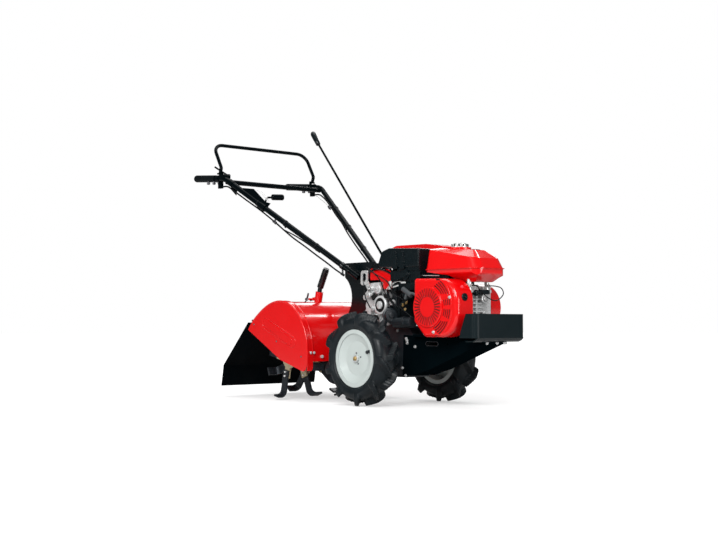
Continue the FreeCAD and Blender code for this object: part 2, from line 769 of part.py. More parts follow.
def recoil_housing():
    """Domed starter housing with a ring of slots in the fan cover's face."""
    y = fan_cover_face
    out = fan_ring_step
    r = fan_ring_od / 2
    profile = [(y + 12, 0), (y + 12, r), (y - out + 2, r), (y - out, r - 3), (y - out, 0)]
    dome = spin(profile, crank_x, crank_z)
    hollow = rod_y(crank_x, crank_z, 2 * (r - 3), y - out + cover_sheet, y + 13)
    shell = dome.cut(hollow)
    slots = []
    for i in range(fan_slot_count):
        slot = box(crank_x + fan_slot_inner, crank_x + r - 7, y - out - 1, y - out + 4,
                   crank_z - fan_slot_width / 2, crank_z + fan_slot_width / 2)
        slot.rotate(V(crank_x, 0, crank_z), V(0, 1, 0), i * 360.0 / fan_slot_count)
        slots.append(slot)
    return shell.cut(slots[0].fuse(slots[1:]))


def pull_grip():
    """T-shaped starter grip with its stem and the guide that it rests in."""
    y = fan_cover_face + 22
    a, b = V(crank_x - 166, y, crank_z + 74), V(crank_x - 116, y, crank_z + 46)
    middle = (a + b) * 0.5
    grip = bar(a, b, 20)
    stem = bar(middle, middle + V(-12, 0, -26), 12)
    neck = bar(middle, V(crank_x - 60, y, crank_z + 44), 11)
    return fused([grip, stem, neck]).cut(fan_cover_form())


def belt_cover():
    """Long rounded cover over the belt drive, open towards the machine."""
    outer = hull_of_two(crank_x, crank_z, belt_cover_r, drum_x, drum_z, drum_cover_r,
                        belt_cover_right, belt_cover_left)
    inner = hull_of_two(crank_x, crank_z, belt_cover_r - cover_sheet,
                        drum_x, drum_z, drum_cover_r - cover_sheet,
                        belt_cover_right - 1, belt_cover_left - cover_sheet)
    return outer.cut(inner)


def pulleys():
    """Engine pulley and driven pulley with their shafts, inside the belt cover."""
    y0 = belt_cover_right + 10
    y1 = belt_cover_left - 16
    small = fused([rod_y(crank_x, crank_z, 76, y0, y1), rod_y(crank_x, crank_z, 25, crankcase_left, y1)])
    large = fused([rod_y(drum_x, drum_z, 124, y0, y1), rod_y(drum_x, drum_z, 30, head_half, y1)])
    return Part.makeCompound([small, large])


def belt_bracket():
    """Flat plate that carries the belt cover from the crankcase and the gearbox head."""
    y0 = crankcase_left
    plate = hull_of_two(crank_x, crank_z, belt_cover_r, drum_x, drum_z, drum_cover_r,
                        belt_cover_right - 4, belt_cover_right)
    plate = plate.cut(rod_y(crank_x, crank_z, 60, 60, 200)).cut(rod_y(drum_x, drum_z, 70, 60, 200))
    boss_a = box(crank_x + 36, crank_x + 60, y0, belt_cover_right - 4, crank_z - 20, crank_z + 20)
    boss_b = box(drum_x - 56, drum_x - 38, head_half, belt_cover_right - 4, drum_z - 30, drum_z + 20)
    return fused([plate, boss_a, boss_b])


# ---------------------------------------------------------------- tank, cleaner, silencer
def tank_profile():
    """The side view of the tank's lower shell, from its rear edge down and round to the front."""
    return [(tank_rear, tank_seam), (tank_rear + 4, tank_seam - 8), (345, tank_seam - 25), (378, tank_belly),
            (460, tank_belly - 2), (tank_front, tank_seam - 22), (tank_front + 3, tank_seam)]


def tank_deck(rear, front, half, rear_r, front_r):
    """Rounded outline across the tank, level or sloping from a rear to a front (x, z) place."""
    (x0, z0), (x1, z1) = rear, front
    reach = math.hypot(x1 - x0, z1 - z0)
    corners = [(0, -half), (reach, -half), (reach, half), (0, half)]
    face = rounded_face(corners, [rear_r, front_r, front_r, rear_r], 0)
    face.rotate(V(0, 0, 0), V(1, 0, 0), 90)
    face.rotate(V(0, 0, 0), V(0, 1, 0), math.degrees(math.atan2(z0 - z1, x1 - x0)))
    face.translate(V(x0, 0, z0))
    return face


def seam_deck(past=0.0):
    """The tank's outline at its seam, or past it all round."""
    rear, front = (tank_rear - past, tank_seam), (tank_front + 3 + past, tank_seam)
    return tank_deck(rear, front, tank_half + past, 22 + past, 44 + past)


def tank_section():
    """The front view of the tank's lower shell, tapered to its underside."""
    half = [(45, tank_belly - 6), (60, tank_seam - 36), (tank_half - 3, tank_seam - 18),
            (tank_half, tank_seam)]
    left = [(-y, z) for y, z in half[::-1]]
    return section_plate(half + left, [8, 12, 10, 0, 0, 10, 12, 8], tank_rear - 20, tank_front + 20)


def tank_form():
    """The tank's outer form, filled: its top slopes down from the cap to the front."""
    rear, front = (tank_rear + 10, tank_top - 4), (tank_front - 19, tank_seam + 39)
    shoulder = tank_deck(rear, front, tank_half - 8, 20, 40)
    rear, front = (tank_rear + 34, tank_top + 1), (tank_front - 62, tank_top - 13)
    crown = tank_deck(rear, front, tank_half / 2, 18, 24)
    upper = Part.makeLoft([seam_deck().OuterWire, shoulder.OuterWire, crown.OuterWire], True, True)
    lower = rounded_plate(tank_profile(), [0, 4, 14, 14, 14, 10, 0], -tank_half, tank_half)
    depth = seam_deck().extrude(V(0, 0, tank_belly - tank_seam - 10))
    return fused([upper, lower.common(tank_section()).common(depth)])


def fuel_tank():
    """Two pressed halves with a seam flange and a raised seat for the cap."""
    flange = seam_deck(5.0).extrude(V(0, 0, 3))
    flange.translate(V(0, 0, -1.5))
    seat = rod_z(cap_x, 0, cap_d + 20, tank_top - 20, tank_top + 1)
    reach = tank_half - 14
    inside = box(tank_rear + 14, tank_front - 60, -reach, reach, tank_seam - 8, tank_seam + 30)
    return fused([tank_form(), flange, seat]).cut(inside)


def tank_cap():
    base = rod_z(cap_x, 0, cap_d, tank_top + 1, tank_top + 13)
    top = rod_z(cap_x, 0, cap_d - 18, tank_top + 13, tank_top + 17)
    grips = []
    for i in range(6):
        notch = rod_z(cap_x + cap_d / 2 + 3, 0, 14, tank_top + 4, tank_top + 20)
        notch.rotate(V(cap_x, 0, 0), V(0, 0, 1), i * 60)
        grips.append(notch)
    return fused([base, top]).cut(grips[0].fuse(grips[1:]))


def tank_posts():
    """Bright posts on the crankcase's front ledge, with the ignition lead's terminals."""
    posts = []
    for side in (-1, 1):
        front_x = crankcase_front + rib_reach - 2
        front_post = rod_z(front_x, side * post_half, 18, ledge_top, tank_seam)
        lead_x = crankcase_front + lead_places[0][0]
        y = side * post_half
        terminal = box(front_x, lead_x, y - 5, y + 5, crankcase_top - 6, crankcase_top + 6)
        posts.append(fused([front_post, terminal]).cut(tank_form()))
    return Part.makeCompound([low_part(post, tank_seam - 2) for post in posts])


def engine_shroud():
    """Black ducting on the crankcase under the tank, back to the carburettor."""
    block = box(cleaner_front, shroud_front, crankcase_right + 2, 60, crankcase_top, tank_seam)
    front = rod_z(shroud_front, crankcase_right + 2, 40, crankcase_top - 1, tank_seam)
    return block.cut(front).cut(tank_form()).cut(cylinder()).common(box(0, 500, -100, 100, 0, tank_seam - 4))


def low_part(shape, z):
    """What of a shape lies below z."""
    b = shape.BoundBox
    return shape.common(box(b.XMin - 1, b.XMax + 1, b.YMin - 1, b.YMax + 1, b.ZMin - 1, z))


def air_cleaner():
    """Rounded cleaner cover with its skirt and two raised straps on the right side."""
    low, top = cleaner_low, cleaner_top
    outline = [(cleaner_rear + 6, low), (cleaner_front, low - 4), (cleaner_front, top - 8),
               (cleaner_rear + 66, top), (cleaner_rear + 22, top - 12), (cleaner_rear, low + 18)]
    body = rounded_plate(outline, [10, 6, 8, 30, 24, 12], cleaner_right, cleaner_left)
    rims = [e for y in (cleaner_right, cleaner_left) for e in edges_at(body, y)]
    body = body.makeFillet(5, rims)
    skirt = box(cleaner_rear + 112, cleaner_front, cleaner_right + 5, cleaner_left - 20, low - 16, low)
    straps = [rounded_plate([(x, low - 8), (x + 26, low - 8), (x + 20, top - 16), (x + 6, top - 16)],
                            [3, 3, 3, 3], cleaner_right - 5, cleaner_right + 2) for x in (58, 100)]
    return fused([body, skirt] + straps)


def carburettor_body():
    """Moulded box below the cleaner, stepped down to the carburettor's flange and bowl."""
    low = cleaner_low - 16
    right = cleaner_right + 8
    block = box(34, cleaner_front, right, cleaner_left - 50, 500, low)
    throat = box(60, cleaner_front - 8, right + 8, cleaner_left - 54, 462, 500)
    bowl = rod_z(104, right + 30, 44, 432, 462)
    nut = rod_z(104, right + 30, 16, 424, 432)
    return [block, throat, bowl, nut]


def carburettor():
    """Black carburettor block with its choke and throttle arms."""
    right = cleaner_right + 8
    dial = rod_y(128, 522, 40, right - 8, right)
    arm = hull_of_two(128, 522, 9, 76, 508, 6, right - 12, right - 8)
    stop = rod_y(76, 508, 9, right - 12, right)
    plate = rounded_plate([(40, 462), (66, 462), (66, 500), (40, 500)], [5, 5, 0, 0], right + 2, right + 6)
    whole = fused(carburettor_body() + [dial, arm, stop, plate])
    return whole.cut(cylinder()).cut(fan_cover_form()).cut(air_cleaner())


def guard_form(shrink):
    """The silencer guard's outer form, or its inside when shrunk by the sheet."""
    t = shrink
    rear, front, low = guard_rear, 200, 560
    top = [(rear + t, low - t), (rear + t, guard_top - 14 - t), (rear + 34, guard_top - 3 - t),
           (front - 90, guard_top - 4 - t), (front - t, guard_top - 16 - t), (front - t, low - t)]
    return rounded_plate(top, [0, 8, 30, 60, 8, 0], cleaner_left + 6 + t, muffler_left - t)


def muffler():
    """Silencer box above the cylinder on the left, with its guard's posts and its stay."""
    y0, y1 = cleaner_left + 12, muffler_left - 16
    top = guard_top - 20
    rear, front, low = guard_rear + 22, 190, 552
    shell = box(rear, front, y0, y1, low, top)
    posts = [rod_z(x, (y0 + y1) / 2, 14, top - 2, guard_top) for x in (rear + 40, front - 40)]
    posts = [post.common(guard_form(cover_sheet)) for post in posts]
    stay = box(front - 14, front + 10, cleaner_left + 20, cleaner_left + 44, 460, low).cut(cylinder())
    hollow = box(rear + 2, front - 2, y0 + 2, y1 - 2, low + 2, top - 2)
    return fused([shell, stay] + posts).cut(hollow)


def muffler_guard():
    """Pressed guard around the silencer, open at the bottom."""
    return guard_form(0).cut(guard_form(cover_sheet))


# ---------------------------------------------------------------- hood, reel and flap
def around_reel(places):
    """Side view points from their places relative to the reel's axis."""
    return [(reel_x + x, reel_z + z) for x, z in places]


def hood_outline():
    """The hood's side view, from its rear corner over the top down to its front foot."""
    return around_reel([(-225, 123), (-200, 153), (-152, 191), (-90, 226), (-30, 244), (10, 246), (60, 237),
                        (108, 211), (154, 161), (182, 108), (193, 48), (195, -7)])


def hood_sheet():
    """Curved top sheet between the end plates."""
    sheet = curved_sheet(hood_outline(), -hood_t, -hood_half + hood_t, hood_half - hood_t)
    slot = box(reel_x + 80, reel_x + 210, -case_half - 10, case_half + 10, 0, reel_z + 123)
    return sheet.cut(slot)


def hood_ends():
    """End plates with a stiffening band around the rim and a pressed rib on the face."""
    foot = around_reel([(192, -27), (184, -43), (168, -49), (11, -4)])
    plate = curved_face(hood_outline(), foot, hood_half - hood_t).extrude(V(0, hood_t, 0))
    band = curved_sheet(hood_outline(), band_t, hood_half - band_width, hood_half)
    rib = rounded_plate(around_reel([(-112, 145), (-96, 173), (88, 87), (96, 49)]), [14, 10, 12, 16],
                        hood_half, hood_half + 2)
    end = fused([plate, band, rib])
    return Part.makeCompound([end, mirrored(end)])


def hood_stays():
    """Plates on the chain case's sides that carry the hood's front."""
    x0, x1 = -396.0, case_rear - 128
    plate = box(x0, x1, chain_half, chain_half + stay_t, 212, 400)
    inner_line = offset_line(hood_outline(), -hood_t)
    inside = curved_face(inner_line, around_reel([(11, -4)]), 0).extrude(V(0, 100, 0))
    ahead = box(-330, x1, 0, 100, 200, 296)
    trimmed = plate.common(fused([inside, ahead]))
    trimmed = trimmed.cut(rod_y(reel_x, reel_z, 2 * (reel_reach + 12), 0, 100))
    return Part.makeCompound([trimmed, mirrored(trimmed)])


def reel_shaft():
    return rod_y(reel_x, reel_z, reel_shaft_d, -reel_half, reel_half)


def tine(y, sense, foot, angle):
    """L-shaped tine: a flat stem from the holder with its end bent to one side."""
    reach = math.sqrt(reel_reach ** 2 - (tine_width / 2) ** 2)
    start = tine_root
    a = V(0, 0, start)
    b = V(0, 0, reach - tine_bend)
    c = V(0, sense * tine_bend, reach)
    k = tine_bend * (1 - math.sqrt(0.5))
    d = V(0, sense * foot, reach)
    e = V(0, sense * foot, reach - tine_t)
    f = V(0, sense * tine_bend, reach - tine_t)
    g = V(0, sense * tine_t, reach - tine_bend)
    h = V(0, sense * tine_t, start)
    inner = tine_t + (tine_bend - tine_t) * (1 - math.sqrt(0.5))
    edges = [Part.LineSegment(a, b).toShape(), Part.Arc(b, V(0, sense * k, reach - k), c).toShape(),
             Part.LineSegment(c, d).toShape(), Part.LineSegment(d, e).toShape(),
             Part.LineSegment(e, f).toShape(),
             Part.Arc(f, V(0, sense * inner, reach - inner), g).toShape(),
             Part.LineSegment(g, h).toShape(), Part.LineSegment(h, a).toShape()]
    blade = Part.Face(Part.Wire(edges)).extrude(V(tine_width, 0, 0))
    blade.translate(V(reel_x - tine_width / 2, y, reel_z))
    blade.rotate(V(reel_x, 0, reel_z), V(0, 1, 0), angle)
    return blade


def tine_holder(y, turn):
    """Flat cross of four arms that the tines are bolted to."""
    disc = rod_y(reel_x, reel_z, holder_od, y - holder_t, y)
    arms = []
    half = holder_arm / 2
    for k in range(4):
        arm = box(reel_x - half, reel_x + half, y - holder_t, y, reel_z, reel_z + holder_reach)
        arm.rotate(V(reel_x, 0, reel_z), V(0, 1, 0), turn + k * 90)
        arms.append(arm)
    hole = rod_y(reel_x, reel_z, reel_shaft_d, y - holder_t - 1, y + 1)
    return fused([disc] + arms).cut(hole)


def tine_set(y, turn, feet):
    """Four tines on a holder's faces, bent inwards and outwards by turns."""
    blades = []
    for k in range(4):
        sense = -1 if y > 0 else 1
        if k % 2:
            sense = -sense
        place = y if sense > 0 else y - holder_t
        blades.append(tine(place, sense, feet[k % 2], turn + k * 90))
    return blades


def reel_row(sign):
    """One side's tines and their holders; the left side is turned by an eighth."""
    tines, holders = [], []
    for station, turn, feet in zip(tine_stations, tine_turns, tine_feet):
        y = sign * station + holder_t / 2
        angle = turn + (45 if sign > 0 else 0)
        tines += tine_set(y, angle, feet)
        holders.append(tine_holder(y, angle))
    return Part.makeCompound(tines), Part.makeCompound(holders)


def flap():
    """Two-fold sheet hanging from the hood's rear edge, with knuckles on its pin."""
    x, z = flap_hinge
    reach = math.hypot(flap_knee[0] - x, flap_knee[1] - z)
    way = ((flap_knee[0] - x) / reach, (flap_knee[1] - z) / reach)
    top = (x + way[0] * flap_gap, z + way[1] * flap_gap)
    mid = offset_line([top, flap_knee, flap_low], flap_t / 2)
    sheet = bent_sheet(mid, -flap_t, -flap_half, flap_half)
    pieces = [sheet]
    for y in knuckle_places:
        ring = rod_y(x, z, knuckle_od, y - knuckle_half, y + knuckle_half)
        strap = bent_sheet(offset_line([flap_hinge, (top[0] + way[0] * 4, top[1] + way[1] * 4)], flap_t / 2),
                           -flap_t, y - knuckle_half, y + knuckle_half)
        pieces += [ring, strap]
    whole = fused(pieces)
    return whole.cut(rod_y(x, z, flap_pin_d + 2 * fit, -flap_half - 5, flap_half + 5))


def flap_pin():
    """Hinge pin with its ears on the hood."""
    x, z = flap_hinge
    pin = rod_y(x, z, flap_pin_d, -hood_half + 8, hood_half - 8)
    ears = []
    for y in ear_places:
        outline = [(x - 7, z - 4), (x + 2, z + 8), (x + 60, z + 46), (x + 60, z + 30), (x + 20, z - 14)]
        ear = side_plate(outline, y - 4, y + 4)
        ears.append(ear)
    return fused([pin] + ears).cut(hood_solid())


def hood_solid():
    """The hood's filled side view, for trimming what sits on it."""
    face = curved_face(hood_outline(), around_reel([(11, -4)]), -hood_half)
    return face.extrude(V(0, 2 * hood_half, 0))


def depth_clamp():
    """Clamp of the depth lever on top of the hood, with its handle at the rear."""
    clamp = bar(V(reel_x - 64, 0, reel_z + 227), depth_foot, 34).cut(hood_solid())
    x, z = reel_x - 92, reel_z + 261
    ear = hull_of_two(x, z, 7, x + 34, z + 2, 9, -5, 5)
    return fused([clamp, ear, rod_y(x, z, 9, -26, 26)])


def depth_lever():
    """Depth lever and its ribbed grip."""
    foot, neck, end = depth_foot, depth_foot + V(5, 0, 20), depth_foot + V(49, 0, 102)
    rib_pitch = 8.0
    way = (end - neck).normalize()
    pieces = [bar(foot, neck, 20), bar(neck, end, 26)]
    for i in range(int((end - neck).Length / rib_pitch)):
        start = neck + way * (i * rib_pitch)
        pieces.append(bar(start, start + way * (rib_pitch / 2), 30))
    return fused(pieces).cut(depth_clamp())


# ---------------------------------------------------------------- column, handlebar, bail
def column():
    """Bent plate bracket behind the gearbox that carries the handlebar."""
    x, z, r = column_waist
    waist = arc_points(x, z, r, -38, 56, 10)
    outline = [(head_rear, 330), (head_rear, 540), (column_front, column_top), (waist[-1][0], column_top)]
    outline += waist[::-1] + [(waist[0][0] + 12, 330)]
    side = side_plate(outline, column_half - column_t, column_half)
    web = bent_sheet([(px + column_t + 2, pz) for px, pz in waist[::-2]], -column_t,
                     -column_half + column_t, column_half - column_t)
    foot = box(head_rear - column_t, head_rear, -column_half + column_t, column_half - column_t, 330, 430)
    pin = rod_y(pivot[0], pivot[1], pivot_d, -handle_pin_half(), handle_pin_half())
    return fused([side, mirrored(side), web, foot, pin])


def handle_pin_half():
    """Half length of the pivot pin, out to the tubes' far sides."""
    return handle_y(pivot[0]) + handle_tube / 2 + 8


def handle_y(x):
    """Sideways place of the straight tube at x."""
    t = (x - handle_foot[0]) / (handle_bend[0] - handle_foot[0])
    return handle_foot[1] + t * (handle_bend[1] - handle_foot[1])


def handle_points(sign):
    """Foot, bend and rear end of one handle tube; the grip's cap lies behind it."""
    end_x = grip_end[0] + grip_cap
    places = (handle_foot, handle_bend, (end_x, grip_side(end_x), grip_height(end_x)))
    return [V(x, sign * y, z) for x, y, z in places]


def handle_core(sign):
    """One handle tube's outer form, filled."""
    return round_pipe(handle_points(sign), handle_bend_r, handle_tube)


def handle_tubes():
    tubes = []
    for sign in (1, -1):
        pipe = tube(handle_points(sign), handle_bend_r, handle_tube, tube_wall)
        tubes.append(pipe.cut(rod_y(pivot[0], pivot[1], pivot_d + 2 * fit, -200, 200)))
    return Part.makeCompound(tubes)


def cross_bar():
    """Bar between the tubes at their bends, let into them from inside."""
    x, y, z = handle_bend
    reach = y - handle_tube / 4
    between = rod_y(x, z - cross_drop, cross_bar_d, -reach, reach)
    for sign in (1, -1):
        between = between.cut(handle_core(sign))
    return between


def grips():
    """Closed rubber grips with a rounded end."""
    shapes = []
    for sign in (1, -1):
        start = V(grip_end[0] + 1, sign * handle_half, grip_end[2])
        ahead = V(handle_bend[0] - grip_end[0], sign * (bend_half - handle_half),
                  handle_bend[2] - grip_end[2]).normalize()
        sleeve = bar(start, start + ahead * grip_length, grip_d)
        rear_edge = [e for e in sleeve.Edges if len(e.Vertexes) == 1 and (e.CenterOfMass - start).Length < 1]
        sleeve = sleeve.makeFillet(grip_d / 3, rear_edge)
        shapes.append(sleeve.cut(handle_core(sign)))
    return Part.makeCompound(shapes)


def grip_height(x):
    """Centre height of the rear tube run at x."""
    t = (x - handle_bend[0]) / (grip_end[0] - handle_bend[0])
    return handle_bend[2] + t * (grip_end[2] - handle_bend[2])


def grip_side(x):
    """Sideways place of the rear tube run at x."""
    t = (x - handle_bend[0]) / (grip_end[0] - handle_bend[0])
    return bend_half + t * (handle_half - bend_half)


def bail_clamps():
    """Brackets on the grips' tubes with the bail's pivot pins and the cables' lugs."""
    shapes = []
    x, z = bail_foot
    low = grip_height(x)
    y = bail_half
    cable_x, cable_y, cable_z = cable_route()[0]
    for sign in (1, -1):
        ring = rod_x(sign * grip_side(x), low, handle_tube + 8, x - clamp_width / 2, x + clamp_width / 2)
        pin = rod_y(x, z, bail_pin_d, sign * y - 14, sign * y + 14)
        ear = side_plate([(x - 10, low), (x + 10, low), (x + 7, z + 6), (x - 7, z + 6)],
                         sign * (y - 10.5) - 2, sign * (y - 10.5) + 2)
        lug = box(x - 8, cable_x, sign * cable_y - 7, sign * cable_y + 7, cable_z - 6, low)
        bolt = rod_y(x + 2, low - 22, 9, sign * y - 12, sign * y + 12)
        shapes.append(fused([ring, pin, ear, lug, bolt]).cut(handle_core(sign)))
    return Part.makeCompound(shapes)


def bail():
    """Bent rod over both grips: pressed down, it drives the machine."""
    y = bail_half
    (fx, fz), (kx, kz), (tx, tz) = bail_foot, bail_knee, bail_top
    points = [V(fx, -y, fz), V(kx, -y, kz), V(tx, -y, tz), V(tx, y, tz), V(kx, y, kz), V(fx, y, fz)]
    rod = round_pipe(points, [bail_knee_r, bail_corner_r, bail_corner_r, bail_knee_r], bail_rod)
    return rod.cut(rod_y(fx, fz, bail_pin_d + 2 * fit, -y - bail_rod, y + bail_rod))


def handle_height(x):
    """Centre height of the sloping tube at x."""
    t = (x - handle_foot[0]) / (handle_bend[0] - handle_foot[0])
    return handle_foot[2] + t * (handle_bend[2] - handle_foot[2])


def tube_collar(x, sign, length, extra):
    """Collar around a sloping tube, centred at x."""
    centre = V(x, sign * handle_y(x), handle_height(x))
    foot = V(handle_foot[0], sign * handle_foot[1], handle_foot[2])
    way = (centre - foot).normalize()
    return bar(centre - way * (length / 2), centre + way * (length / 2), handle_tube + extra)


def hand_controls():
    """Throttle lever and hand lever on the right tube, with their clamps."""
    bend_x, bend_y, bend_z = handle_bend
    y = -bend_y
    house = rounded_plate([(bend_x - 40, bend_z + 8), (bend_x + 2, bend_z + 2), (bend_x + 2, bend_z + 20),
                           (bend_x - 34, bend_z + 26)], [2, 2, 8, 8], y - 11, y + 27)
    root = V(bend_x - 14, y + 28, bend_z + 16)
    tip = V(bend_x - 126, y + 28, bend_z + 68)
    throttle = fused([house, bar(root, tip, 8), rod_y(root.x, root.z, 18, y + 24, y + 32)])
    collar_x = bend_x + 206
    collar = tube_collar(collar_x, -1, 34, 8)
    lever_root = V(collar_x, -handle_y(collar_x), handle_height(collar_x))
    knee = lever_root + V(-13, 34, 44)
    grip_start = knee + V(-2, 24, 3)
    grip_stop = grip_start + V(20, 54, 1)
    lever = round_pipe([lever_root, knee, grip_stop], 12, hand_lever_rod)
    grip = bar(grip_start, grip_stop, hand_lever_grip)
    grip = grip.makeFillet(hand_lever_grip / 4, [e for e in grip.Edges if len(e.Vertexes) == 1
                                                 and e.Curve.TypeId == "Part::GeomCircle"])
    gusset = side_plate([(bend_x + 14, bend_z - 12), (bend_x + 62, bend_z - 46), (bend_x + 54, bend_z - 78),
                         (bend_x + 16, bend_z - 50)], y + 21, y + 25)
    hand = fused([collar, lever, grip])
    core = handle_core(-1)
    cable_guide = fused([gusset, tube_collar(bend_x + 34, -1, 24, 6)])
    return Part.makeCompound([piece.cut(core) for piece in (throttle, hand, cable_guide)])


def ferrules():
    """Collars near the tubes' feet with the ends of the control cables."""
    shapes = []
    end, before = cable_route()[-1], cable_route()[-2]
    for sign in (1, -1):
        stop = V(end[0], sign * end[1], end[2])
        way = (stop - V(before[0], sign * before[1], before[2])).normalize()
        sleeve = bar(stop, stop + way * ferrule_length, ferrule_d)
        collar = tube_collar(end[0] + 4, sign, 14, 6)
        seat = V(end[0] + 4, sign * handle_y(end[0]), handle_height(end[0]))
        tie = bar(stop + way * (ferrule_length / 2), seat, 8)
        shapes.append(fused([collar, sleeve, tie]).cut(handle_core(sign)))
    return Part.makeCompound(shapes)


def cable_route():
    """The left cable's points, from the bail's lug down to its ferrule."""
    x, z = handle_bend[0], handle_bend[2]
    start, bend = cable_lugs
    points = [(x - start, bail_half - 1, z - cable_drop), (x + bend, bail_half - 1, z - cable_drop)]
    for share, side, drop in cable_places:
        place = x + share * (handle_foot[0] - x)
        points.append((place, handle_y(place) + side, handle_height(place) - drop))
    return points


def control_cables():
    """One cable under each handle tube."""
    routes = [[(x, sign * y, z) for x, y, z in cable_route()] for sign in (1, -1)]
    return Part.makeCompound([cord(route, cable_d) for route in routes])


def ignition_lead():
    """Lead that loops from one front post's terminal past the ribbed wall to the other."""
    return cord([(crankcase_front + x, y, crankcase_top + z) for x, y, z in lead_places], lead_d)


def shift_lever():
    foot = V(shift_foot[0], 0, shift_foot[1])
    end = V(shift_end[0], 0, shift_end[1])
    way = (end - foot).normalize()
    neck = end - way * shift_knob_length
    return bar(foot, neck, shift_rod)


def shift_knob_solid():
    foot = V(shift_foot[0], 0, shift_foot[1])
    end = V(shift_end[0], 0, shift_end[1])
    way = (end - foot).normalize()
    return bar(end - way * shift_knob_length, end, shift_knob)


# ---------------------------------------------------------------- write every piece
os.makedirs("parts", exist_ok=True)

for side, sign in (("left", 1), ("right", -1)):
    put("tyre_" + side, tyre(sign))
    put("rim_" + side, rim(sign))
    put("hub_" + side, hub(sign))
    tines, holders = reel_row(sign)
    put("tines_" + side, tines)
    put("tine_holders_" + side, holders)

put("axle_housings", axle_housings())
put("frame_plates", frame_plates())
put("gearbox_case", gearbox_case())
put("gear_head", gear_head())
put("head_cover", head_cover())
put("link_plate", link_plate())
put("cable_bracket", cable_bracket())
put("chain_case", chain_case())
put("frame_apron", frame_apron())
put("engine_bed", engine_bed())
put("bumper", bumper())
put("bumper_bracket", bumper_bracket())
put("crankcase", crankcase())
put("cylinder", cylinder())
put("fan_cover", fan_cover())
put("recoil_housing", recoil_housing())
put("pull_grip", pull_grip())
put("belt_cover", belt_cover())
put("belt_bracket", belt_bracket())
put("pulleys", pulleys())
put("fuel_tank", fuel_tank())
put("tank_cap", tank_cap())
put("tank_posts", tank_posts())
put("engine_shroud", engine_shroud())
put("air_cleaner", air_cleaner())
put("carburettor", carburettor())
put("muffler", muffler())
put("muffler_guard", muffler_guard())
put("ignition_lead", ignition_lead())
put("hood_ends", hood_ends())
put("hood_sheet", hood_sheet())
put("hood_stays", hood_stays())
put("reel_shaft", reel_shaft())
put("flap", flap())
put("flap_pin", flap_pin())
put("depth_clamp", depth_clamp())
put("depth_lever", depth_lever())
put("handle_column", column())
put("handle_tubes", handle_tubes())
put("cross_bar", cross_bar())
put("grips", grips())
put("bail_clamps", bail_clamps())
put("bail", bail())
put("hand_controls", hand_controls())
put("ferrules", ferrules())
put("control_cables", control_cables())
put("shift_lever", shift_lever())
put("shift_knob", shift_knob_solid())
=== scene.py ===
# %% [markdown]
# # A rear-tine tiller, dressed
# The CAD model gives every solid its place and size. This script loads it as a frame,
# sets the camera and the light, gives each surface a procedural finish, and adds what
# solids leave out: rounded tread lugs, bolts, rivets, springs and small fittings.
# All lengths are metres, +X points forward, +Y to the machine's left, +Z up.

# %% Load the frame
import json
import math

import bmesh
import bpy
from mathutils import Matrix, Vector
from mathutils.bvhtree import BVHTree


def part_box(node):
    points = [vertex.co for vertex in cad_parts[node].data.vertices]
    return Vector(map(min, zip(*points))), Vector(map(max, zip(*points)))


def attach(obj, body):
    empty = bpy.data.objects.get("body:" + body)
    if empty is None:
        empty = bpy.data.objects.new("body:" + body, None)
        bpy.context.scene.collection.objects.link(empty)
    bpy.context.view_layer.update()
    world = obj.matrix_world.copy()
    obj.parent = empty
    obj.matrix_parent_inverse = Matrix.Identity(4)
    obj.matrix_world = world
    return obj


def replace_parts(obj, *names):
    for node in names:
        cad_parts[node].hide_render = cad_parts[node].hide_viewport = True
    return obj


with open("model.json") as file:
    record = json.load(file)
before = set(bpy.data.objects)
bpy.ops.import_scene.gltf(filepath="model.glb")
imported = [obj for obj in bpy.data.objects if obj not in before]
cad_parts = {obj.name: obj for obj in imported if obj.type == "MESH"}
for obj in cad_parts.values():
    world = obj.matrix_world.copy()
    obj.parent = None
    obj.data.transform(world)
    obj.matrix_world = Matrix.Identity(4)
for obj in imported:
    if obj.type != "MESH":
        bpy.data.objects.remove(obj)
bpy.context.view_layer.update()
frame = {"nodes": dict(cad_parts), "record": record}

MM = 0.001
SIDES = (("left", 1), ("right", -1))  # a side's name, and its sign along Y


def middle(node):
    """The centre of a CAD node's box."""
    low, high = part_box(node)
    return (low + high) / 2


axle_x = middle("tyre_left").x
print("axle at", round(axle_x, 3), "nodes", len(frame["nodes"]))

# %% [markdown]
# ## The camera
# A camera is a lens, a place and two angles. This one stands low, ahead of the machine on
# its right side, and a long lens keeps the near and the far wheel almost the same size.
# Its place is measured from the axle, so it follows the machine.

# %% Camera
LENS = 60.8  # millimetres, in front of film 36 mm wide
FILM = 36
EYE_AHEAD, EYE_LEFT, EYE_HEIGHT = 3.680, -3.384, 0.330
PITCH, HEADING = 92.56, 49.47  # degrees; a pitch of 90 looks level

scene = bpy.context.scene
scene.view_settings.view_transform = "Standard"


def add_camera():
    data = bpy.data.cameras.new("camera")
    data.lens = LENS
    data.sensor_width = FILM
    camera = bpy.data.objects.new("camera", data)
    camera.location = (axle_x + EYE_AHEAD, EYE_LEFT, EYE_HEIGHT)
    camera.rotation_euler = (math.radians(PITCH), 0, math.radians(HEADING))
    scene.collection.objects.link(camera)
    scene.camera = camera
    return camera


print("camera at", [round(c, 3) for c in add_camera().location])

# %% [markdown]
# ## Shader maths
# Nodes can be wired one by one, but a long list of links is hard to read. `Value` wraps
# one output socket and overloads the operators, so a mask reads as an expression, such as
# `1 - mask`. Numbers go through Math nodes, and colours only through Mix nodes, because a
# Math node turns a colour grey.

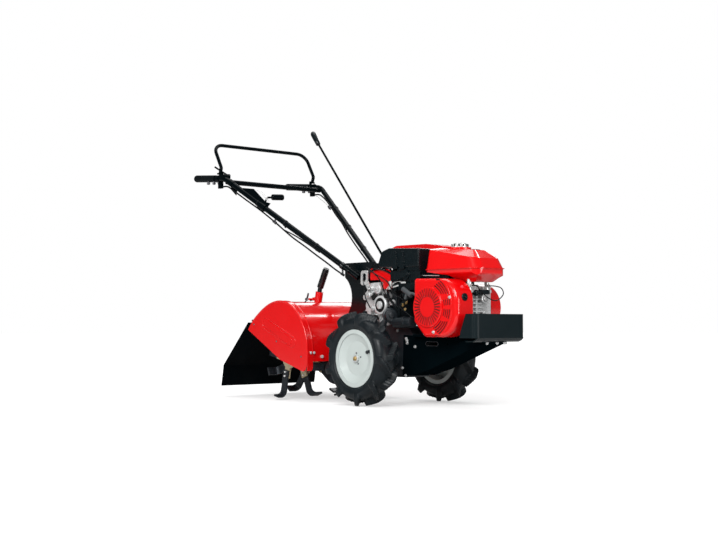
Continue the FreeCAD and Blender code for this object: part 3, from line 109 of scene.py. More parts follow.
# %% A value in a shader
class Value:
    """A number or colour that varies over a surface."""

    def __init__(self, owner, output):
        self.owner = owner
        self.output = output

    def maths(self, operation, first, second):
        return self.owner.node("Math", {"operation": operation}, {0: first, 1: second})

    def __add__(self, other):
        return self.maths("ADD", self, other)

    def __sub__(self, other):
        return self.maths("SUBTRACT", self, other)

    def __rsub__(self, other):
        return self.maths("SUBTRACT", other, self)

    def __mul__(self, other):
        return self.maths("MULTIPLY", self, other)

    __radd__ = __add__
    __rmul__ = __mul__


print("a value takes + - and *")

# %% [markdown]
# ## One way to make a node
# Every other node comes from the method `node`. It takes the node's type, its settings,
# which are set first because they can change the sockets, and then the sockets' values or
# links. The sky and all materials share it.

# %% A tree of nodes
class NodeTree:
    """The nodes of one material, or of the sky."""

    def __init__(self, tree):
        self.tree = tree

    def node(self, kind, settings=None, sockets=None, output=0):
        made = self.tree.nodes.new("ShaderNode" + kind)
        for key, setting in (settings or {}).items():
            setattr(made, key, setting)
        for key, source in (sockets or {}).items():
            self.feed(made.inputs[key], source)
        return Value(self, made.outputs[output])

    def feed(self, socket, source):
        if isinstance(source, Value):
            self.tree.links.new(source.output, socket)
        else:
            socket.default_value = source


print("one method makes every node")

# %% [markdown]
# ## Patterns on a surface
# Noise gives soft patches, and Voronoi cells give a grain. Both read the object's own
# coordinates, so a pattern stays on its part when the part moves. `span` stretches a
# pattern to the range that is wanted, so one kind of noise serves for colour, for
# roughness and for masks.

# %% Patterns
class Patterns(NodeTree):
    """What a surface can vary by."""

    def stretched(self, scale):
        place = self.node("TexCoord", output="Object")
        return self.node("Mapping", {}, {"Vector": place, "Scale": scale})

    def noise(self, scale, detail=3.0, stretch=(1, 1, 1)):
        sockets = {"Vector": self.stretched(stretch), "Scale": scale, "Detail": detail}
        return self.node("TexNoise", {}, sockets, "Fac")

    def cells(self, scale):
        sockets = {"Vector": self.stretched((1, 1, 1)), "Scale": scale}
        return self.node("TexVoronoi", {}, sockets, "Distance")

    def height_above_floor(self):
        place = self.node("TexCoord", output="Object")
        return self.node("SeparateXYZ", {}, {0: place}, "Z")

    def span(self, value, low, high, to_low=0.0, to_high=1.0):
        """A value's range from low to high, stretched to another one."""
        sockets = {"Value": value, "From Min": low, "From Max": high,
                   "To Min": to_low, "To Max": to_high}
        return self.node("MapRange", {}, sockets)

    def around(self, pattern, level, below, above):
        """A level that wanders with a noise pattern, mostly between its two limits."""
        return self.span(pattern, 0.3, 0.7, level - below, level + above)


print("patterns: noise, cells and the height above the floor")

# %% [markdown]
# ## A paint
# `Paint` is one material around the Principled shader. What is the same all over, such as
# the coat's roughness, is set as a plain number. `finish` links what varies, which is the
# colour, the roughness and the bump. Its Bevel node makes hard edges catch a thin line of
# light, as real rounded edges do.

# %% Paint
COLOUR_A, COLOUR_B, COLOUR_RESULT = 6, 7, 2  # a Mix node's sockets for colours
EDGE = 0.0012  # how far in from an edge the light bends round it


class Paint(Patterns):
    """One procedural material."""

    def __init__(self, name, **constants):
        self.material = bpy.data.materials.new(name)
        self.material.use_nodes = True
        super().__init__(self.material.node_tree)
        self.shader = self.tree.nodes["Principled BSDF"]
        for key, amount in constants.items():
            self.shader.inputs[key.replace("_", " ")].default_value = amount

    def mix(self, factor, first, second):
        sockets = {"Factor": factor, COLOUR_A: first, COLOUR_B: second}
        return self.node("Mix", {"data_type": "RGBA"}, sockets, COLOUR_RESULT)

    def shades(self, pattern, colour, first, second):
        """Two shades of a colour, mixed by a pattern."""
        return self.mix(pattern, shade(colour, first), shade(colour, second))

    def grey(self, value):
        return self.node("CombineColor", {}, {0: value, 1: value, 2: value})

    def finish(self, base, roughness, bump, strength, depth, edge=EDGE):
        """Link colour and roughness, and round the edges under the bump."""
        self.feed(self.shader.inputs["Base Color"], base)
        self.feed(self.shader.inputs["Roughness"], roughness)
        soft = self.node("Bevel", {"samples": 4}, {"Radius": edge})
        sockets = {"Height": bump, "Strength": strength, "Distance": depth, "Normal": soft}
        self.feed(self.shader.inputs["Normal"], self.node("Bump", {}, sockets))
        return self.material


def shade(colour, factor):
    """A colour made lighter or darker, with full alpha."""
    return tuple(min(1.0, c * factor) for c in colour) + (1.0,)


print("paint kit ready")

# %% [markdown]
# ## The sky
# A white sky makes a plain surround. The same white in reflections would grey the black
# paint, so the sky is dimmer there and as a light. Light Path tells these kinds of ray
# apart, and a chain of Mix nodes picks the level for each.

# %% Sky
SKY_SEEN, SKY_SHINE, SKY_CAST = 1.0, 0.15, 0.24  # seen, in reflections, as a light


def add_sky():
    world = bpy.data.worlds.new("sky")
    scene.world = world
    world.use_nodes = True
    sky = NodeTree(world.node_tree)
    level = SKY_CAST
    for ray, strength in (("Is Glossy Ray", SKY_SHINE), ("Is Transmission Ray", SKY_SEEN),
                          ("Is Camera Ray", SKY_SEEN)):
        sockets = {"Factor": sky.node("LightPath", output=ray), "A": level, "B": strength}
        level = sky.node("Mix", {}, sockets, "Result")
    background = world.node_tree.nodes["Background"]
    sky.feed(background.inputs["Strength"], level)
    sky.feed(background.inputs["Color"], (1, 1, 1, 1))


add_sky()
print("sky ready")

# %% [markdown]
# ## The floor
# The floor is one large square of pale paper that keeps the machine's shadow. Far from
# the machine it glows until it is as white as the sky, so no horizon shows. Only the
# camera sees the whole glow, and reflections see a little of it, so it lights nothing.

# %% Floor
FLOOR_HALF = 30
GLOW_START, GLOW_FULL = 0.8, 3.2  # metres from the middle
GLOW_UNDER = 0.46  # how bright the paper is seen under the machine
GLOW_SHINE = 0.09  # how much of the glow shows in reflections


def floor_finish():
    """Pale paper that seems to run on into the white sky, and keeps the shadow."""
    paint = Paint("floor_paper", Specular_IOR_Level=0.0, Emission_Strength=1.0)
    tone = paint.mix(paint.noise(0.8, 3.0), (0.56, 0.56, 0.56, 1), (0.59, 0.59, 0.59, 1))
    place = paint.node("TexCoord", output="Object")
    away = paint.node("VectorMath", {"operation": "LENGTH"}, {0: place}, "Value")
    glow = paint.span(away, GLOW_START, GLOW_FULL, GLOW_UNDER, 1.0)
    seen = paint.node("LightPath", output="Is Camera Ray")
    shine = paint.node("LightPath", output="Is Glossy Ray")
    light = paint.grey(glow * (seen + shine * GLOW_SHINE))
    paint.feed(paint.shader.inputs["Emission Color"], light)
    return paint.finish(tone, 0.9, bump=paint.noise(60.0, 2.0), strength=0.02, depth=0.001)


def add_floor():
    half = FLOOR_HALF
    mesh = bpy.data.meshes.new("floor")
    corners = [(-half, -half, 0), (half, -half, 0), (half, half, 0), (-half, half, 0)]
    mesh.from_pydata(corners, [], [(0, 1, 2, 3)])
    floor = bpy.data.objects.new("floor", mesh)
    scene.collection.objects.link(floor)
    floor.data.materials.append(floor_finish())


add_floor()
print("floor", 2 * FLOOR_HALF, "m square")

# %% [markdown]
# ## The lamps
# Large area lamps cast soft shadows, as in a studio. The key lamp stands near the camera,
# and softer ones fill the top, the near side, the front and the back. One small weak lamp
# draws the bright streak on the hood's curved sheet. Their power stays low enough for a
# colour to look about as it is written.

# %% Lamps
# Each lamp's name, place, aim, width and height, and power in watts.
LAMPS = (("key", (2.7, -3.0, 2.5), (0, 0, 0.4), (2.4, 1.8), 200),
         ("top", (-0.6, 0.1, 3.2), (-0.2, 0, 0.4), (2.6, 2.0), 55),
         ("side", (-0.1, -3.9, 1.5), (-0.3, 0, 0.4), (1.4, 1.2), 42),
         ("streak", (0.24, 1.75, 2.7), (-0.06, -0.13, 0.36), (0.24, 0.20), 3.5),
         ("front", (3.9, 0.7, 0.7), (0.3, 0, 0.3), (1.5, 1.0), 38),
         ("back", (-2.0, 2.8, 2.2), (0, 0, 0.5), (2.0, 1.4), 36))


def add_lamp(name, place, aim, size, power):
    data = bpy.data.lights.new(name, "AREA")
    data.shape = "RECTANGLE"
    data.size, data.size_y = size
    data.energy = power
    lamp = bpy.data.objects.new(name, data)
    lamp.location = place
    lamp.rotation_euler = (Vector(aim) - Vector(place)).to_track_quat("-Z", "Y").to_euler()
    scene.collection.objects.link(lamp)


for lamp in LAMPS:
    add_lamp(*lamp)
print("lamps", [lamp[0] for lamp in LAMPS])

# %% [markdown]
# ## Dust
# A garden machine is never quite clean near the ground. A little pale dust lies in
# patches and fades with height, so its mask is one pattern times the other. More dust
# would turn the black paint grey.

# %% Dust
DUST = (0.10, 0.092, 0.08, 1)


def dusty(paint, colour, amount, reach=0.25):
    """A colour with a little pale dust, up to a height above the ground."""
    low = 1 - paint.span(paint.height_above_floor(), 0.0, reach)
    patches = paint.span(paint.noise(14.0, 5.0), 0.45, 0.75)
    return paint.mix(low * patches * amount, colour, DUST)


print("dust colour", DUST[:3])

# %% [markdown]
# ## Paint, plastic and rubber
# Sprayed enamel has a faint orange peel under a clear coat. Moulded plastic has a fine
# grain of cells, and rubber is mottled by a dull bloom. Each kind is one short function,
# and its bump is finer than a millimetre, as on the real thing.

# %% Painted, plastic and rubber finishes
def coated(name, colour, roughness, coat, peel=0.04, wander=0.05, shine=0.35, edge=EDGE,
           dust=0.08):
    """Sprayed enamel: two close shades, orange peel and fine dust."""
    paint = Paint(name, Coat_Weight=coat, Coat_Roughness=0.04, Specular_IOR_Level=shine)
    tone = paint.shades(paint.noise(5.0, 4.0), colour, 0.95, 1.05)
    rough = paint.around(paint.noise(12.0, 4.0), roughness, wander, wander)
    bump = paint.noise(420.0, 2.0)
    tone = dusty(paint, tone, dust)
    return paint.finish(tone, rough, bump, strength=peel, depth=0.0004, edge=edge)


def moulded(name, colour, roughness, grain=0.25):
    """Moulded plastic with a fine leather-like grain."""
    paint = Paint(name, Specular_IOR_Level=0.26)
    tone = paint.shades(paint.noise(9.0, 3.0), colour, 0.9, 1.15)
    rough = paint.around(paint.noise(60.0, 3.0), roughness, 0.06, 0.08)
    bump = paint.cells(900.0)
    return paint.finish(tone, rough, bump, strength=grain, depth=0.0003, edge=0.0020)


def rubber(name, colour, roughness, mottle, shine):
    """Rubber with a dull bloom."""
    paint = Paint(name, Specular_IOR_Level=shine)
    bloom = paint.span(paint.noise(mottle, 6.0), 0.42, 0.68)
    tone = dusty(paint, paint.shades(bloom, colour, 0.85, 1.35), 0.02, reach=0.30)
    rough = paint.around(paint.noise(mottle * 2, 5.0), roughness, 0.08, 0.1)
    bump = paint.noise(260.0, 6.0)
    return paint.finish(tone, rough, bump, strength=0.22, depth=0.0006, edge=0.0025)


print("paint, plastic and rubber ready")

# %% [markdown]
# ## Metal
# Castings have a sandy grain with darker patches at random, plated steel is streaked
# along the part, and the forged tines are black with scale and bright scuffs. Roughness
# follows the same grain as the bump, because pits scatter light.

# %% Metal finishes
def cast(name, colour, roughness, metal):
    """Sand casting: pitted grain with darker patches at random."""
    paint = Paint(name, Metallic=metal)
    grain = paint.noise(240.0, 6.0)
    stain = paint.span(paint.noise(18.0, 5.0), 0.35, 0.72)
    tone = paint.shades(stain, colour, 1.06, 0.78)
    rough = paint.around(grain, roughness, 0.1, 0.12)
    bump = grain + paint.cells(380.0) * 0.5
    return paint.finish(tone, rough, bump, strength=0.22, depth=0.0006, edge=0.0020)


def plated(name, colour, roughness):
    """Plated or drawn steel, streaked along the part."""
    paint = Paint(name, Metallic=0.55)
    streaks = paint.noise(90.0, 4.0, stretch=(1.0, 9.0, 1.0))
    tone = paint.shades(paint.noise(22.0, 5.0), colour, 0.78, 1.12)
    rough = paint.around(streaks, roughness, 0.08, 0.14)
    return paint.finish(tone, rough, streaks, strength=0.12, depth=0.0004, edge=0.0008)


def forged(name, colour, roughness):
    """Blackened forged steel with scale and scuffs."""
    paint = Paint(name, Metallic=0.6)
    scale = paint.noise(70.0, 7.0)
    scuffs = paint.span(paint.noise(35.0, 6.0, stretch=(1, 1, 3)), 0.60, 0.72)
    tone = dusty(paint, paint.shades(scuffs, colour, 1.0, 3.2), 0.15)
    rough = paint.around(scale, roughness, 0.1, 0.15)
    return paint.finish(tone, rough, scale, strength=0.5, depth=0.0012, edge=0.0015)


print("metal ready")

# %% [markdown]
# ## The machine's finishes
# Each material slot of the record has one finish. Black paint looks darkest on the
# shaded frame, satin on the bumper and glossy on the round tubes, so these three have
# copies of the black of their own, with less shine than the red. The copies on the frame
# and the tubes are darker, which is painted shade, and the bumper's is lighter and more
# teal, which is a painted reflection.

# %% Finishes by slot
WHEEL_WHITE = (0.43, 0.475, 0.46)

FINISHES = {
    "tyre": rubber("tyre_rubber", (0.0034, 0.0062, 0.0082), 0.40, mottle=22.0, shine=0.22),
    "rim": coated("rim_enamel", WHEEL_WHITE, 0.36, coat=0.15, peel=0.10),
    "hub": coated("hub_enamel", WHEEL_WHITE, 0.38, coat=0.15, peel=0.10),
    "casting_dark": cast("casting_dark", (0.012, 0.017, 0.021), 0.40, metal=0.20),
    "casting": cast("casting_bright", (0.60, 0.61, 0.61), 0.30, metal=0.35),
    # This black leans a little to teal, as do its copies below; that teal is a painted reflection.
    "black": coated("black_enamel", (0.0012, 0.0034, 0.0044), 0.22, coat=0.15, peel=0.01,
                    wander=0.02, dust=0.01),
    # A darker copy of the black with little shine: painted shade on the round tubes.
    "tube_black_painted_shade": coated("tube_enamel_painted_shade", (0.0008, 0.0024, 0.0032), 0.20, coat=0.0, peel=0.01,
                         wander=0.02, shine=0.06, edge=0.0, dust=0.01),
    # A darker copy of the black without shine: painted shade on the shaded frame.
    "frame_black_painted_shade": coated("frame_enamel_painted_shade", (0.0010, 0.0030, 0.0040), 0.30, coat=0.0,
                          peel=0.01, wander=0.04, shine=0.0, dust=0.01),
    # A lighter, more teal copy of the black on the bumper: a painted reflection.
    "bumper_black_painted_reflection": coated("bumper_enamel_painted_reflection", (0.0016, 0.0062, 0.0080), 0.38, coat=0.0,
                          peel=0.01, wander=0.04, shine=0.16, dust=0.01),
    "red": coated("red_enamel", (0.62, 0.0015, 0.0025), 0.20, coat=0.30),
    "tine_steel": forged("forged_steel", (0.014, 0.018, 0.024), 0.42),
    "grey_plastic": moulded("grey_plastic", (0.045, 0.052, 0.056), 0.42),
    "black_plastic": moulded("black_plastic", (0.0016, 0.0046, 0.0060), 0.26, grain=0.0),
    "pulley": cast("pulley_iron", (0.20, 0.20, 0.20), 0.45, metal=0.8),
    "bright_metal": plated("bright_plate", (0.66, 0.67, 0.66), 0.24),
    "dark_steel": plated("dark_steel", (0.09, 0.09, 0.10), 0.38),
    "flap_rubber": rubber("flap_rubber", (0.0003, 0.0012, 0.0020), 0.50, mottle=9.0, shine=0.03),
    "grip_rubber": rubber("grip_rubber", (0.0022, 0.0042, 0.0052), 0.50, mottle=60.0, shine=0.10),
    "cable_black": rubber("cable_sheath", (0.003, 0.004, 0.005), 0.40, mottle=50.0, shine=0.12),
    "zinc_cream": plated("zinc_cream", (0.62, 0.52, 0.34), 0.40),
}
print("finishes", len(FINISHES))

# %% [markdown]
# ## Dressing the solids
# Most CAD solids already have the right shape, so they stay and only change their
# material. The record names each one's slot, and the three other blacks come after it:
# two copies with painted shade and one with a painted reflection.

# %% Dress the solids
BLACK_NODES = {
    "tube_black_painted_shade": "handle_tubes cross_bar bail shift_lever bail_clamps hand_controls",
    "frame_black_painted_shade": "frame_plates frame_apron bumper_bracket engine_bed",
    "bumper_black_painted_reflection": "bumper",
}


def dress(node, finish):
    """Give a CAD node one finish, in place of its plain material."""
    materials = frame["nodes"][node].data.materials
    materials.clear()
    materials.append(FINISHES[finish])


for part in frame["record"]["subparts"]:
    dress(part["node"], part["material_slot"])
for finish, nodes in BLACK_NODES.items():
    for node in nodes.split():
        dress(node, finish)

# %% [markdown]
# ## Places on the machine
# Small pieces are placed in millimetres from the ground below the axle, which is how a
# maker would measure them. A typed depth would leave a bolt hanging in the air when a
# solid changes, so `land` shoots a ray at the CAD solids and gives the point that it hits.

# %% Places on the solids
FORWARDS, BACK, UP, DOWN = (1, 0, 0), (-1, 0, 0), (0, 0, 1), (0, 0, -1)
OUTWARDS = (0, -1, 0)  # to the machine's right, which is the fan's side
TREES = {}


def at(x, y, z):
    """A place in millimetres from the ground below the axle, in metres."""
    return Vector((axle_x + x * MM, y * MM, z * MM))


def places(points):
    """Several such places."""
    return [at(*point) for point in points]


def land(nodes, start, way):
    """Where a ray first meets one of the named CAD nodes."""
    hits = []
    for node in nodes.split():
        if node not in TREES:
            solid = bmesh.new()
            solid.from_mesh(frame["nodes"][node].data)
            TREES[node] = BVHTree.FromBMesh(solid)
            solid.free()
        place, _, _, reach = TREES[node].ray_cast(start, Vector(way).normalized())
        if place is not None:
            hits.append((reach, tuple(place)))
    if not hits:
        raise ValueError(f"no {nodes} along the ray from {tuple(start)}")
    return Vector(min(hits)[1])


print("a ray down on the tank stops at", land("fuel_tank", at(414, 0, 700), DOWN))

# %% [markdown]
# ## Making small pieces
# Bolts, rivets and knobs are turned shapes, so one method spins a profile about an axis.
# Wires, hoses and beads are tubes that follow a line, and brackets are outlines with a
# thickness. All of them are skins over rings of points, so one method makes the faces and
# the others only place the rings.

# %% Forms
def sides_of(axis):
    """An axis of length 1, and two directions square to it and to each other."""
    axis = Vector(axis).normalized()
    spare = Vector((0, 0, 1)) if abs(axis.z) < 0.9 else Vector((1, 0, 0))
    across = axis.cross(spare).normalized()
    return axis, across, axis.cross(across)


class Forms:
    """Several forms in one mesh; each method adds one."""

    def __init__(self, name):
        self.name = name
        self.mesh = bmesh.new()

    def skin(self, rings, closed=False):
        """A skin over rings of points, with flat ends unless it closes on itself."""
        rows = [[self.mesh.verts.new(p) for p in ring] for ring in rings]
        pairs = list(zip(rows, rows[1:])) + ([(rows[-1], rows[0])] if closed else [])
        for first, second in pairs:
            for i, vert in enumerate(first):
                j = (i + 1) % len(first)
                self.mesh.faces.new((vert, first[j], second[j], second[i]))
        if not closed:
            self.mesh.faces.new(rows[0][::-1])
            self.mesh.faces.new(rows[-1])
        return self

    def turned(self, place, axis, profile, sides=24):
        """Spin (distance along the axis, radius) pairs, in millimetres."""
        axis, across, up = sides_of(axis)
        turns = [math.tau * i / sides for i in range(sides)]
        circle = [across * math.cos(t) + up * math.sin(t) for t in turns]
        return self.skin([[place + axis * along * MM + way * radius * MM for way in circle]
                          for along, radius in profile])

    def tube(self, points, radius, sides=10, closed=False):
        """A round tube along points, its section turned as little as can be."""
        count = len(points)
        turns = [math.tau * k / sides for k in range(sides)]
        rings = []
        up = None
        for i, point in enumerate(points):
            ahead = points[(i + 1) % count] if closed or i + 1 < count else point
            behind = points[i - 1] if closed or i else point
            way = (ahead - behind).normalized()
            up = sides_of(way)[1] if up is None else (up - way * up.dot(way)).normalized()
            side = way.cross(up)
            rings.append([point + (up * math.cos(t) + side * math.sin(t)) * radius * MM
                          for t in turns])
        return self.skin(rings, closed)

    def slab(self, outline, thickness):
        """A flat outline in space, made as thick as given towards its back."""
        normal = (outline[1] - outline[0]).cross(outline[2] - outline[1]).normalized()
        return self.skin([[p - normal * thickness * MM for p in outline], outline])


print("forms: a skin, a turned shape, a tube and a slab")

# %% [markdown]
# ## From forms to a piece
# A finished piece has its faces turned outwards, soft shading with crisp steep edges, a
# finish, and a body that it rides on. `done` gives it all of these in one call. Each form
# returns the part, so a piece of one form is a single line.

# %% A part
MADE = []


def told():
    """Print the pieces made since the last call."""
    print("made", ", ".join(MADE))
    MADE.clear()


class Part(Forms):
    """Forms that share one finish and ride on one body."""

    def done(self, slot, body="frame", finish=None, bevel=0.0, sharp=35):
        """Make the object, with its finish, taken from the slot unless one is given, and the body
        that it rides on.
        """
        bmesh.ops.recalc_face_normals(self.mesh, faces=self.mesh.faces[:])
        data = bpy.data.meshes.new(self.name)
        self.mesh.to_mesh(data)
        self.mesh.free()
        data.polygons.foreach_set("use_smooth", [True] * len(data.polygons))
        data.set_sharp_from_angle(angle=math.radians(sharp))
        piece = bpy.data.objects.new(self.name, data)
        scene.collection.objects.link(piece)
        if bevel:
            rounding = piece.modifiers.new("rounding", "BEVEL")
            rounding.width = bevel * MM
            rounding.segments = 2
        data.materials.append(finish or FINISHES[slot])
        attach(piece, body)
        MADE.append(self.name)
        return piece


# %% [markdown]
# ## Bolts, rivets and springs
# A machine repeats a few fasteners, so each is written once. A hexagon bolt is a turned
# shape with six sides over a thin washer, a rivet is a quarter circle spun about its
# axis, and a coil spring is a thin tube along a helix.

# %% Fasteners, lines and springs
DOME_TOP = 1.5  # radians, just short of a quarter turn, so the top ends in a small flat


def smooth_path(points, steps=8):
    """Points on a smooth line through the given ones, by the Catmull-Rom rule."""
    points = [2 * points[0] - points[1]] + list(points) + [2 * points[-1] - points[-2]]
    path = []
    for a, b, c, d in zip(points, points[1:], points[2:], points[3:]):
        for i in range(steps):
            t = i / steps
            path.append(0.5 * (2 * b + (c - a) * t + (2 * a - 5 * b + 4 * c - d) * t * t
                               + (3 * b - a - 3 * c + d) * t ** 3))
    return path + [points[-2]]


def hexagon_bolt(part, place, axis, across_flats=10.0, washer=True):
    """A hexagon head with a chamfered top, over a thin washer."""
    r = across_flats / math.sqrt(3)
    if washer:
        part.turned(place, axis, [(-1, r * 1.1), (1.1, r * 1.3), (1.5, r * 1.2)])
    head = [(-1, r), (across_flats * 0.55, r), (across_flats * 0.68, r * 0.82)]
    part.turned(place, axis, head, sides=6)


def dome(part, place, axis, radius, height):
    """A rivet's or a small cap's rounded head."""
    steps = [math.pi / 2 * i / 4 for i in range(4)] + [DOME_TOP]
    profile = [(height * math.sin(t), radius * math.cos(t)) for t in steps]
    part.turned(place, axis, [(-1, radius)] + profile, sides=16)


def coil(part, start, end, radius, turns, wire):
    """A coil spring between two places."""
    _, across, up = sides_of(end - start)
    steps = turns * 12
    path = []
    for i in range(steps + 1):
        t = math.tau * i / 12
        centre = start + (end - start) * (i / steps)
        path.append(centre + (across * math.cos(t) + up * math.sin(t)) * radius * MM)
    part.tube(path, wire, sides=6)


print("a bolt, a dome and a coil are ready")

# %% [markdown]
# ## Extra finishes
# A few small things have finishes of their own: brass nuts and jets, bright bolts, a red
# button, and a flat black of painted shade, seen through the fan's slots and in the cap's
# notches and the casting's hollows. They reuse the functions of the large finishes, so
# they match the rest of the machine.

# %% Small finishes
brass = plated("brass", (0.36, 0.25, 0.10), 0.36)
bolt_steel = plated("bolt_steel", (0.62, 0.63, 0.63), 0.28)
pale_metal = plated("pale_metal", (0.80, 0.81, 0.80), 0.30)
# A flat black that paints shade where the solids have no real hollow.
flat_black_painted_shade = moulded("flat_black_painted_shade", (0.002, 0.002, 0.002), 0.8)
button_red = moulded("button_red", (0.70, 0.03, 0.05), 0.3)
print("small finishes", [m.name for m in (brass, bolt_steel, pale_metal, flat_black_painted_shade, button_red)])

# %% [markdown]
# ## Wheel centres
# A hexagon nut with a washer holds each rim, four small bolt heads sit round it, and a
# rubber valve stem leans outwards from the dish. All are turned shapes that land on the
# rim or the hub, and they ride on the wheel, so they turn with it.

# %% Nuts, bolts and valves of the wheels
HUB_BOLT_CIRCLE, HUB_BOLT_ANGLES = 0.022, (15, 105, 195, 285)
VALVE_PLACE = Vector((0.062, 0, 0.026))  # from the wheel's centre
VALVE = [(-4, 7.5), (4, 7.2), (9, 6.4), (11, 3.2), (20, 3.2), (22, 6.6), (34, 6.6), (37, 4.5)]
NUT = [(0, 9.5), (6.5, 9.5), (8, 8)]
NUT_END = [(0, 5), (9, 5), (10, 4)]
WASHER = [(-1, 14), (1.2, 14), (1.8, 13)]
BEYOND = 0.3  # rays start this far outside the wheel

for side, sign in SIDES:
    body = "wheel_" + side
    wheel = f"rim_{side} hub_{side}"
    centre = middle("rim_" + side)
    out = Vector((0, sign, 0))
    face = land(wheel, centre + out * BEYOND, -out)
    nut = Part("wheel_nut_" + side).turned(face, out, NUT, sides=6)
    nut.turned(face, out, NUT_END).done("bright_metal", body, brass)
    Part("wheel_washer_" + side).turned(face, out, WASHER).done("bright_metal", body, bolt_steel)
    bolts = Part("wheel_bolts_" + side)
    for angle in HUB_BOLT_ANGLES:
        turn = math.radians(angle)
        foot = centre + Vector((math.cos(turn), 0, math.sin(turn))) * HUB_BOLT_CIRCLE
        dome(bolts, land(wheel, foot + out * BEYOND, -out), out, radius=4.0, height=2.6)
    bolts.done("dark_steel", body)
    spot = land(wheel, centre + VALVE_PLACE + out * BEYOND, -out)
    lean = (0.90, sign * 0.42, 0.12)
    Part("valve_" + side).turned(spot, lean, VALVE, sides=16).done("tyre", body)
told()

# %% [markdown]
# ## The hood's end plates
# Rivets hold each end plate, and a long rounded rib is pressed into it to stiffen it. A
# pressed rib shows mainly by its edge, so it is drawn as a fine raised bead: an oval of
# points that each land on the plate, with a thin closed tube through them.

# %% Rivets and ribs
HOOD_RIVETS = ((-683, 325), (-518, 252), (-345, 190))  # x, z
RIB_ENDS = ((-594, 328), (-409, 251))  # x, z of the centres of its round ends
RIB_HALF = 24


def on_hood_end(sign, x, z):
    """Where a ray from beside the hood meets its end plate."""
    return land("hood_ends", at(x, sign * 330, z), (0, -sign, 0))


def rib_outline(sign):
    """Two half circles on the end plate, joined by straight sides."""
    (x0, z0), (x1, z1) = RIB_ENDS
    slope = math.atan2(z1 - z0, x1 - x0)
    outline = []
    for x, z, first in ((x0, z0, 90), (x1, z1, 270)):
        for step in range(9):
            turn = math.radians(first + step * 22.5) + slope
            ahead, above = RIB_HALF * math.cos(turn), RIB_HALF * math.sin(turn)
            outline.append(on_hood_end(sign, x + ahead, z + above))
    return outline


for side, sign in SIDES:
    rivets = Part("hood_rivets_" + side)
    for x, z in HOOD_RIVETS:
        dome(rivets, on_hood_end(sign, x, z), (0, sign, 0), radius=4.2, height=2.6)
    rivets.done("dark_steel")
    rib = rib_outline(sign)
    Part("hood_rib_" + side).tube(rib, 1.5, sides=8, closed=True).done("red")
told()

# %% [markdown]
# ## The hood's bands
# A flat band goes over the sheet beside each end, with a round bead along both edges, and
# its foot is bolted to the front. The band is a skin over cross sections, and each corner
# of a section lands on the sheet and is raised by its height, so the band hugs any curve.

# %% Bolts, bands and beads
BAND = ((259.0, -1.0), (259.0, 2.4), (255.5, 3.0), (236.5, 3.0), (232.5, 2.4), (232.0, -1.0))
BAND_ANGLES = range(3, 147, 4)  # degrees about the reel, from the front to the rear
BAND_FOOT = ((263, 196), (233, 196), (233, 142), (241, 131), (263, 131))  # y, z
FOOT_FRONT, EDGE_OUT = -304, 259.5  # x of the foot's face, y of the band's outer edge
FOOT_THICKNESS = 3
CLEAR = 0.5  # metres from the reel, where rays start
FOOT_BOLTS, STUD_PLACE = (245, 228), (184, 190)  # y of each bolt; y and z of the stud
STUD = [(-2, 7), (6, 7), (10, 5), (11, 2)]


def band_section(sign, angle):
    """The band's (y, height) corners, raised from the sheet at one angle."""
    way = Vector((math.cos(math.radians(angle)), 0, math.sin(math.radians(angle))))
    section = []
    for y, height in BAND:
        start = middle("reel_shaft") + way * CLEAR
        start.y = sign * y * MM
        section.append(land("hood_sheet", start, -way) + way * height * MM)
    return section


def edge_line(section, sign):
    """The middle of the band's outer edge."""
    low, high = section[:2]
    return Vector(((low.x + high.x) / 2, sign * EDGE_OUT * MM, (low.z + high.z) / 2))


for side, sign in SIDES:
    bolts = Part("hood_bolts_" + side)
    for y in FOOT_BOLTS:
        spot = land("hood_ends hood_sheet", at(-200, sign * y, 207), BACK)
        hexagon_bolt(bolts, spot + Vector((FOOT_THICKNESS * MM, 0, 0)), FORWARDS, 8)
    y, z = STUD_PLACE
    spot = land("hood_sheet", at(-200, sign * y, z), BACK)
    bolts.turned(spot, FORWARDS, STUD, sides=16).done("bright_metal", finish=bolt_steel)
    sections = [band_section(sign, angle) for angle in BAND_ANGLES]
    foot = [at(FOOT_FRONT, sign * y, z) for y, z in BAND_FOOT]
    Part("hood_band_" + side).skin(sections).slab(foot, FOOT_THICKNESS).done("red")
    outer = [edge_line(section, sign) for section in sections]
    inner = [section[4].lerp(section[5], 0.4) for section in sections]
    bead = Part("hood_bead_" + side).tube(outer, 4.2, sides=12)
    bead.tube(inner, 3.4, sides=12).done("red")
told()

# %% [markdown]
# ## The depth lever's clamp
# A short screw with a folded thumb lever pinches the clamp that holds the depth lever.
# The screw is a tube with a bolt head, and the thumb lever is two smooth bent tubes that
# meet in a turned boss.

# %% Clamp screw
jaw = land("depth_clamp", at(-700, -12, 436), FORWARDS)
tip = jaw + Vector((-0.030, 0, 0.002))
screw = Part("clamp_screw").tube([jaw + Vector((0.004, 0, 0)), tip], 3.2, sides=12)
hexagon_bolt(screw, jaw, BACK, 10)
screw.done("bright_metal", finish=bolt_steel)
thumb = Part("clamp_thumb").turned(tip, (-1, 0, 0.1), [(-6, 6), (6, 6), (8, 4)], sides=16)
upper = [tip, tip + Vector((0.006, 0, 0.012)), tip + Vector((0.016, -0.004, 0.026))]
lower = [tip, tip + Vector((-0.006, 0, -0.008)), tip + Vector((-0.018, 0.002, -0.014))]
thumb.tube(smooth_path(upper, 4), 4).tube(smooth_path(lower, 4), 3).done("dark_steel")
told()

# %% [markdown]
# ## The fan cover
# The pressed cover has a raised rim around its slots and two screws in round collars. On
# its front wall sit the round engine switch and a small button. The rim is a thin tube,
# and the rest are turned shapes. The cover's outer face comes from its CAD box.

